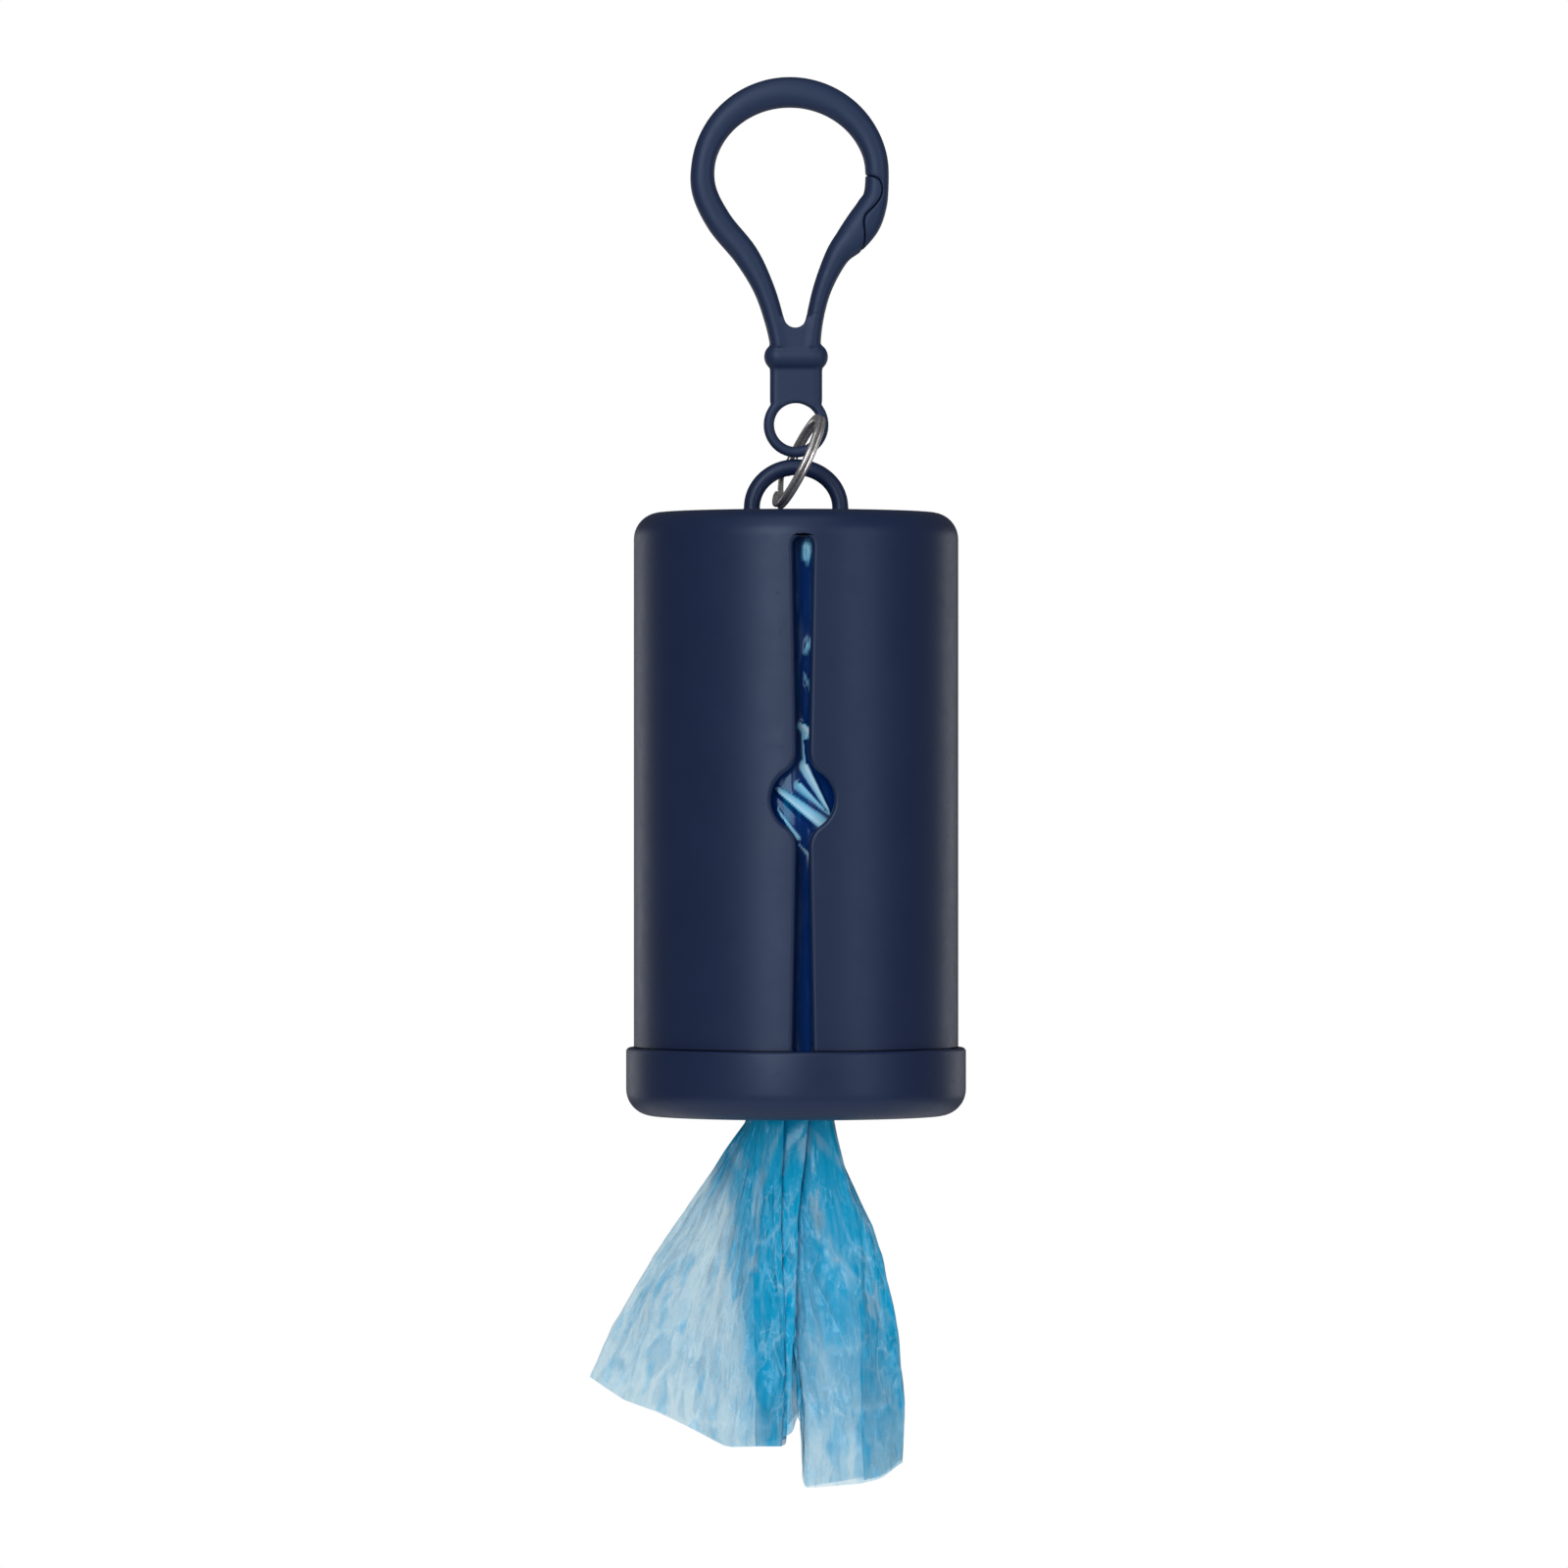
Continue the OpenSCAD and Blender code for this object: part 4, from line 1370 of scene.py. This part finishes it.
# %% Crumple
random = np.random.default_rng(20241)
loop_length = spans.sum()
pull = np.cumsum(np.concatenate([[0], np.linalg.norm(np.diff(bag_grid.mean(1), axis=0), axis=1)]))
gather_at = pull[len(inside_rows)]
along, across = np.meshgrid(pull, column * loop_length, indexing="ij")
hang = (along - gather_at) / (pull[-1] - gather_at)


def pyramids(width, length, lean):
    """Polygonal cells of a width, drawn out along the pull: height, and each cell's own tone."""
    count_across = round(loop_length / width)
    count_along = int(pull[-1] / length) + 2
    seeds = []
    for i in range(count_along):
        for j in range(count_across):
            seeds.append(((j + random.uniform(-0.45, 0.45) + 0.5 * (i % 2)) * width % loop_length,
                          (i + random.uniform(-0.45, 0.45)) * length,
                          random.normal() * lean, random.uniform(0.75, 1.25)))
    nearest = np.full(along.shape, 9.0)
    second = np.full(along.shape, 9.0)
    tone = np.zeros(along.shape)
    for x, y, slant, size in seeds:
        rows = np.abs(pull - y) < 1.8 * length
        dy = (along[rows] - y) / length
        dx = (across[rows] - x + loop_length / 2) % loop_length - loop_length / 2
        dx = (dx - slant * (along[rows] - y)) / width
        reach = np.maximum(np.abs(dx) + 0.35 * np.abs(dy), np.abs(dy) + 0.25 * np.abs(dx)) * size
        closer = reach < nearest[rows]
        second[rows] = np.where(closer, nearest[rows], np.minimum(second[rows], reach))
        nearest[rows] = np.where(closer, reach, nearest[rows])
        side = 0.4 * np.clip(dx * 4, -1, 1) * np.sign(slant + 0.01)
        tone[rows] = np.where(closer, random.uniform(-0.7, 0.7) + side, tone[rows])
    return np.minimum(nearest, 1.5), tone, np.clip(1 - (second - nearest) * width / 0.45, 0, 1)


big, big_tone, big_line = pyramids(7.5, 22.0, 0.1)
middle, middle_tone, middle_line = pyramids(3.6, 10.0, 0.2)
small, small_tone, small_line = pyramids(1.8, 4.5, 0.3)
creases = 1.1 * big + 0.5 * middle + 0.16 * small
facet_tone = 0.6 * big_tone + 0.5 * middle_tone + 0.2 * small_tone
crease_line = np.maximum(np.maximum(0.9 * big_line, 0.6 * middle_line), 0.3 * small_line)
print(f"creases: {creases.std():.2f} mm deep on average, {np.ptp(creases):.2f} at most")

# %% [markdown]
# A finger pulled the film out a little behind the round hole, so folds run to that spot from the
# upper left, and more lie behind the slot above it. Each is a ridge between two places that were
# read off the photograph. It has its own half width at each end and its own height, and it carries
# a painted highlight of its own strength, which ends more sharply on its left hand.

# %% Folds behind the slot
finger_spot = (841, 832)
front_folds = [
    ((836, 847), (789, 807), 1.15, 0.4, 0.6, 0.75), ((811, 801), (840, 832), 0.65, 0.08, 0.5, 0.5),
    ((817, 782), (841, 832), 0.75, 0.06, 0.6, 0.95), ((813, 748), (816, 784), 0.1, 0.3, 0.3, 0.5),
    ((808, 855), (788, 826), 0.35, 0.12, 0.3, 0.6), ((810, 861), (821, 872), 0.12, 0.35, 0.3, 0.5),
    ((814, 741), (820, 747), 0.6, 0.7, 0.5, 1.0), ((812, 753), (821, 755), 0.1, 0.16, 0.2, 0.5),
    ((816, 664), (821, 656), 0.4, 0.6, 0.3, 0.4), ((818, 701), (815, 691), 0.35, 0.15, 0.3, 0.25),
    ((820, 561), (820, 570), 0.75, 0.75, 0.35, 0.5), ((810, 578), (824, 577), 0.1, 0.1, 0.15, 0.15),
]
on_front = smooth_step(along, 0.2, 1) * smooth_step(-bag_grid[..., 1], 12, 15)
place = bag_grid[..., [0, 2]]


def off_segment(start_at, end_at, start_half, end_half):
    """Seen from the front, how far off a stretch each point is, in half widths, and its side."""
    a, b = np.array(spot(*start_at)), np.array(spot(*end_at))
    t = np.clip(((place - a) @ (b - a)) / ((b - a) @ (b - a)), 0, 1)
    away = place - a - t[..., None] * (b - a)
    side = np.sign((b - a)[0] * away[..., 1] - (b - a)[1] * away[..., 0])
    return np.linalg.norm(away, axis=-1) / (start_half + (end_half - start_half) * t), side


def off_spot(x, y):
    """Seen from the front, how far each point is from a pixel of the photograph, in mm."""
    return np.hypot(*(bag_grid[..., i] - at for i, at in zip((0, 2), spot(x, y))))


ridges = np.zeros_like(along)
# The painted highlight along each ridge is kept apart from the ridge's height.
ridge_highlight = np.zeros_like(along)
for start_at, end_at, start_half, end_half, high_up, highlight_strength in front_folds:
    off, side = off_segment(start_at, end_at, start_half, end_half)
    ridges = np.maximum(ridges, high_up * np.clip(1 - off, 0, 1))
    steep = np.where(side > 0, 3.0, 0.75)
    ridge_highlight = np.maximum(ridge_highlight, highlight_strength * np.clip(1 - off * steep, 0, 1) ** 0.7)
pulled = on_front * (0.8 * ridges + 0.4 * np.exp(-(off_spot(*finger_spot) / 4.5) ** 2))
print(f"folds behind the slot: {len(front_folds)}, up to {pulled.max():.2f} mm out")

# %% [markdown]
# The creases lift the film along its normal, and beside the roll it is kept inside the gap that
# the housing leaves. How many layers a point stands for comes from the folds' table, with most at
# the gather and fewest at the hem. Behind the slot the film lies on the roll, so there it stands
# for many and looks dark. The stretch under the roll stands for fewer: it is what shows when a bag
# is pulled out, drawn long, and it has to stay blue. Pale tracks and the ridges behind the slot
# stand for fewer layers, and with the crease lines they get a whitish colour: painted highlights.

# %% Film skin
least_spread = 0.12
roll_gap = 0.12
wall_gap = 0.25
step_round = np.roll(bag_grid, -1, 1) - np.roll(bag_grid, 1, 1)
normal = unit(np.cross(step_round, np.gradient(bag_grid, axis=0)))
spread = np.linalg.norm(step_round, axis=2) * bag_columns / 2 / loop_length
spread = np.array([rounded_folds(row, 12) for row in spread])
lift = (creases - creases.mean()) * np.clip(spread, least_spread, 1)
lift *= 0.15 + 0.85 * smooth_step(hang, 0, 0.25)
bag_points = bag_grid + normal * lift[..., None]
bag_points += unit(bag_grid * [1, 1, 0]) * pulled[..., None]
from_axis = np.maximum(np.hypot(bag_points[..., 0], bag_points[..., 1]), 1e-9)
beside_roll = (bag_points[..., 2] > under_z + bend_r) & (hang < 0)
kept_off = np.clip(from_axis, roll_r + roll_gap, bore_r - wall_gap)
squeeze = np.where(beside_roll, kept_off / from_axis, 1)
bag_points[..., :2] *= squeeze[..., None]
# Crease lines where the bag hangs are painted whitish: a painted highlight.
painted_highlight_share = 0.25 * crease_line * smooth_step(hang, 0.1, 0.4)


def along_folds(place):
    """A value of the folds' table, spread over the columns between them."""
    values = np.array([fold[place] for fold in folds])
    return values[span_of] * (1 - span_at) + np.roll(values, -1)[span_of] * span_at


# Pale tracks on the hanging film, each a line of points with a half width in pixels and a strength:
# painted highlights, drawn as fewer layers and a whitish colour and gathered in `pale`.
highlight_tracks = [
    ([(817, 1153), (838, 1258), (862, 1300), (906, 1352)], 8, 0.9),
    ([(772, 1212), (769, 1250), (768, 1293)], 5, 0.9), ([(790, 1152), (772, 1212)], 6, 0.8),
    ([(745, 1168), (756, 1186)], 9, 0.6), ([(822, 1150), (856, 1186)], 5, 0.7),
    ([(806, 1160), (797, 1195)], 4, 0.6), ([(806, 1262), (812, 1340)], 4, 0.5),
    ([(884, 1296), (902, 1352)], 5, 0.8), ([(818, 1345), (824, 1380)], 5, 0.6),
]
pale = np.zeros_like(along)
px = (spot(900, 800)[0] - spot(800, 800)[0]) / 100
gather_depth = 9
front_depth = 15.5
under_depth = 8.0
fewest, most = 0.35, 10.5
for line, half, highlight_strength in highlight_tracks:
    for start_at, end_at in zip(line[:-1], line[1:]):
        off, side = off_segment(start_at, end_at, half * px, half * px)
        pale = np.maximum(pale, highlight_strength * np.clip(1.7 - off * 1.5, 0, 1))
pale *= (bag_grid[..., 1] < -0.8) & (hang > 0)
pale *= np.clip(0.65 + 0.9 * small_tone + 0.6 * middle_tone, 0.1, 1)
gathered = gather_depth * np.exp(-(np.clip(hang, 0, 1) / along_folds(4)) ** 2)
layer_count = (along_folds(3) + gathered) * np.exp(-0.5 * facet_tone) * (1 - 0.7 * pale)
finger_z = spot(*finger_spot)[1]
above = smooth_step(bag_grid[..., 2], finger_z + 6, finger_z + 10)
lighter = np.exp(-(off_spot(808, 822) / 3.6) ** 2)
inside_count = front_depth - 1.3 * above - 1.7 * lighter - 0.7 * facet_tone
inside_count *= 1 - 0.6 * ridge_highlight * on_front
under_roll = 1 - smooth_step(bag_grid[..., 2], under_z - 0.5, under_z + bend_r)
inside_count += (under_depth - inside_count) * under_roll
layer_count *= 1 - 0.4 * smooth_step(hang, 0.78, 0.97)
layer_count = np.where(hang < 0, inside_count, np.clip(layer_count, fewest, most))
# All painted highlights together: crease lines, pale tracks and the ridges behind the slot.
painted_highlight_share = np.clip(painted_highlight_share + 0.35 * pale + 0.9 * ridge_highlight * on_front, 0, 1)
print(f"film stands for {layer_count.min():.1f} to {layer_count.max():.1f} layers")

# %% Leading bag
bag_mesh = Shape().grid(bag_points, ring=True).mesh(closed=False)
for name, values in (("crease", painted_highlight_share), ("layers", layer_count)):
    bag_mesh.attributes.new(name, "FLOAT", "POINT").data.foreach_set("value", values.ravel())
flat_place = points_of(np.where(hang < 0, bag_grid[..., 0], across), along,
                       smooth_step(hang, 0.02, 0.3))
flat_data = bag_mesh.attributes.new("flat", "FLOAT_VECTOR", "POINT").data
flat_data.foreach_set("vector", flat_place.ravel())
bag = piece("leading_bag", bag_mesh, film_finish)
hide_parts("bag_feed", "bag_tail")
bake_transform(bag)

# %% [markdown]
# ## Roll and core
# The bags are folded lengthwise and wound on a card core. Only a narrow strip of the roll shows
# beside the leading bag, and its lower end when the cap is off: there the edges of the turns form
# a spiral, which the winding tree draws as a fine rib. The core keeps its packed shape.

# %% Roll
core_r = 6.55
roll_edge = 0.8
end_x = 11
turns_round = np.linspace(0, 2 * math.pi, 180, endpoint=False)
roll_profile = [(core_r, roll_z), (core_r, roll_top_z), (end_x, roll_top_z)]
roll_profile += arc((roll_r - roll_edge, roll_top_z - roll_edge), roll_edge, 90, 0, 5)
roll_profile += [(roll_r, z) for z in np.linspace(roll_top_z - 1.6, roll_z + 1.6, 60)]
roll_profile += arc((roll_r - roll_edge, roll_z + roll_edge), roll_edge, 0, -90, 5)
roll_profile += [(end_x, roll_z)]
roll_rows = []
for r, z in roll_profile:
    dent = 0.12 * (np.sin(3 * turns_round + z * 0.05) + np.sin(11 * turns_round + z * 0.22)
                   * 0.5 + np.sin(29 * turns_round - z * 0.6) * 0.25) - 0.22
    radius = r + (dent if r > 12 else 0)
    roll_rows.append(points_of(radius * np.cos(turns_round), radius * np.sin(turns_round), z))
roll_mesh = Shape().grid(roll_rows + roll_rows[:1], ring=True).mesh()
roll = piece("bag_roll_film", roll_mesh, wound_finish)
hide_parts("bag_roll")
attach(roll, "roll")
turn_edge = 0.3
for end_name, end_z in (("upper_turns", roll_top_z - 0.02), ("lower_turns", roll_z + 0.02)):
    end_place = Matrix.Translation((0, 0, end_z * MM))
    end_mesh = wound(end_place, wound_finish, start_radius=core_r + 0.4, end_radius=roll_r - 0.9,
                     turns=17.0, steps=64, climb=0.0, climb_start=0.0, climb_end=1.0,
                     across=turn_edge, along_axis=turn_edge, corner=turn_edge * 0.4)
    end_turns = piece(end_name, end_mesh, wound_finish)
    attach(end_turns, "roll")

# %% Core
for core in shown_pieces():
    if core.name.startswith("roll_core"):
        core.data.materials.clear()
        core.data.materials.append(card_finish)
        print("core finish on", core.name)
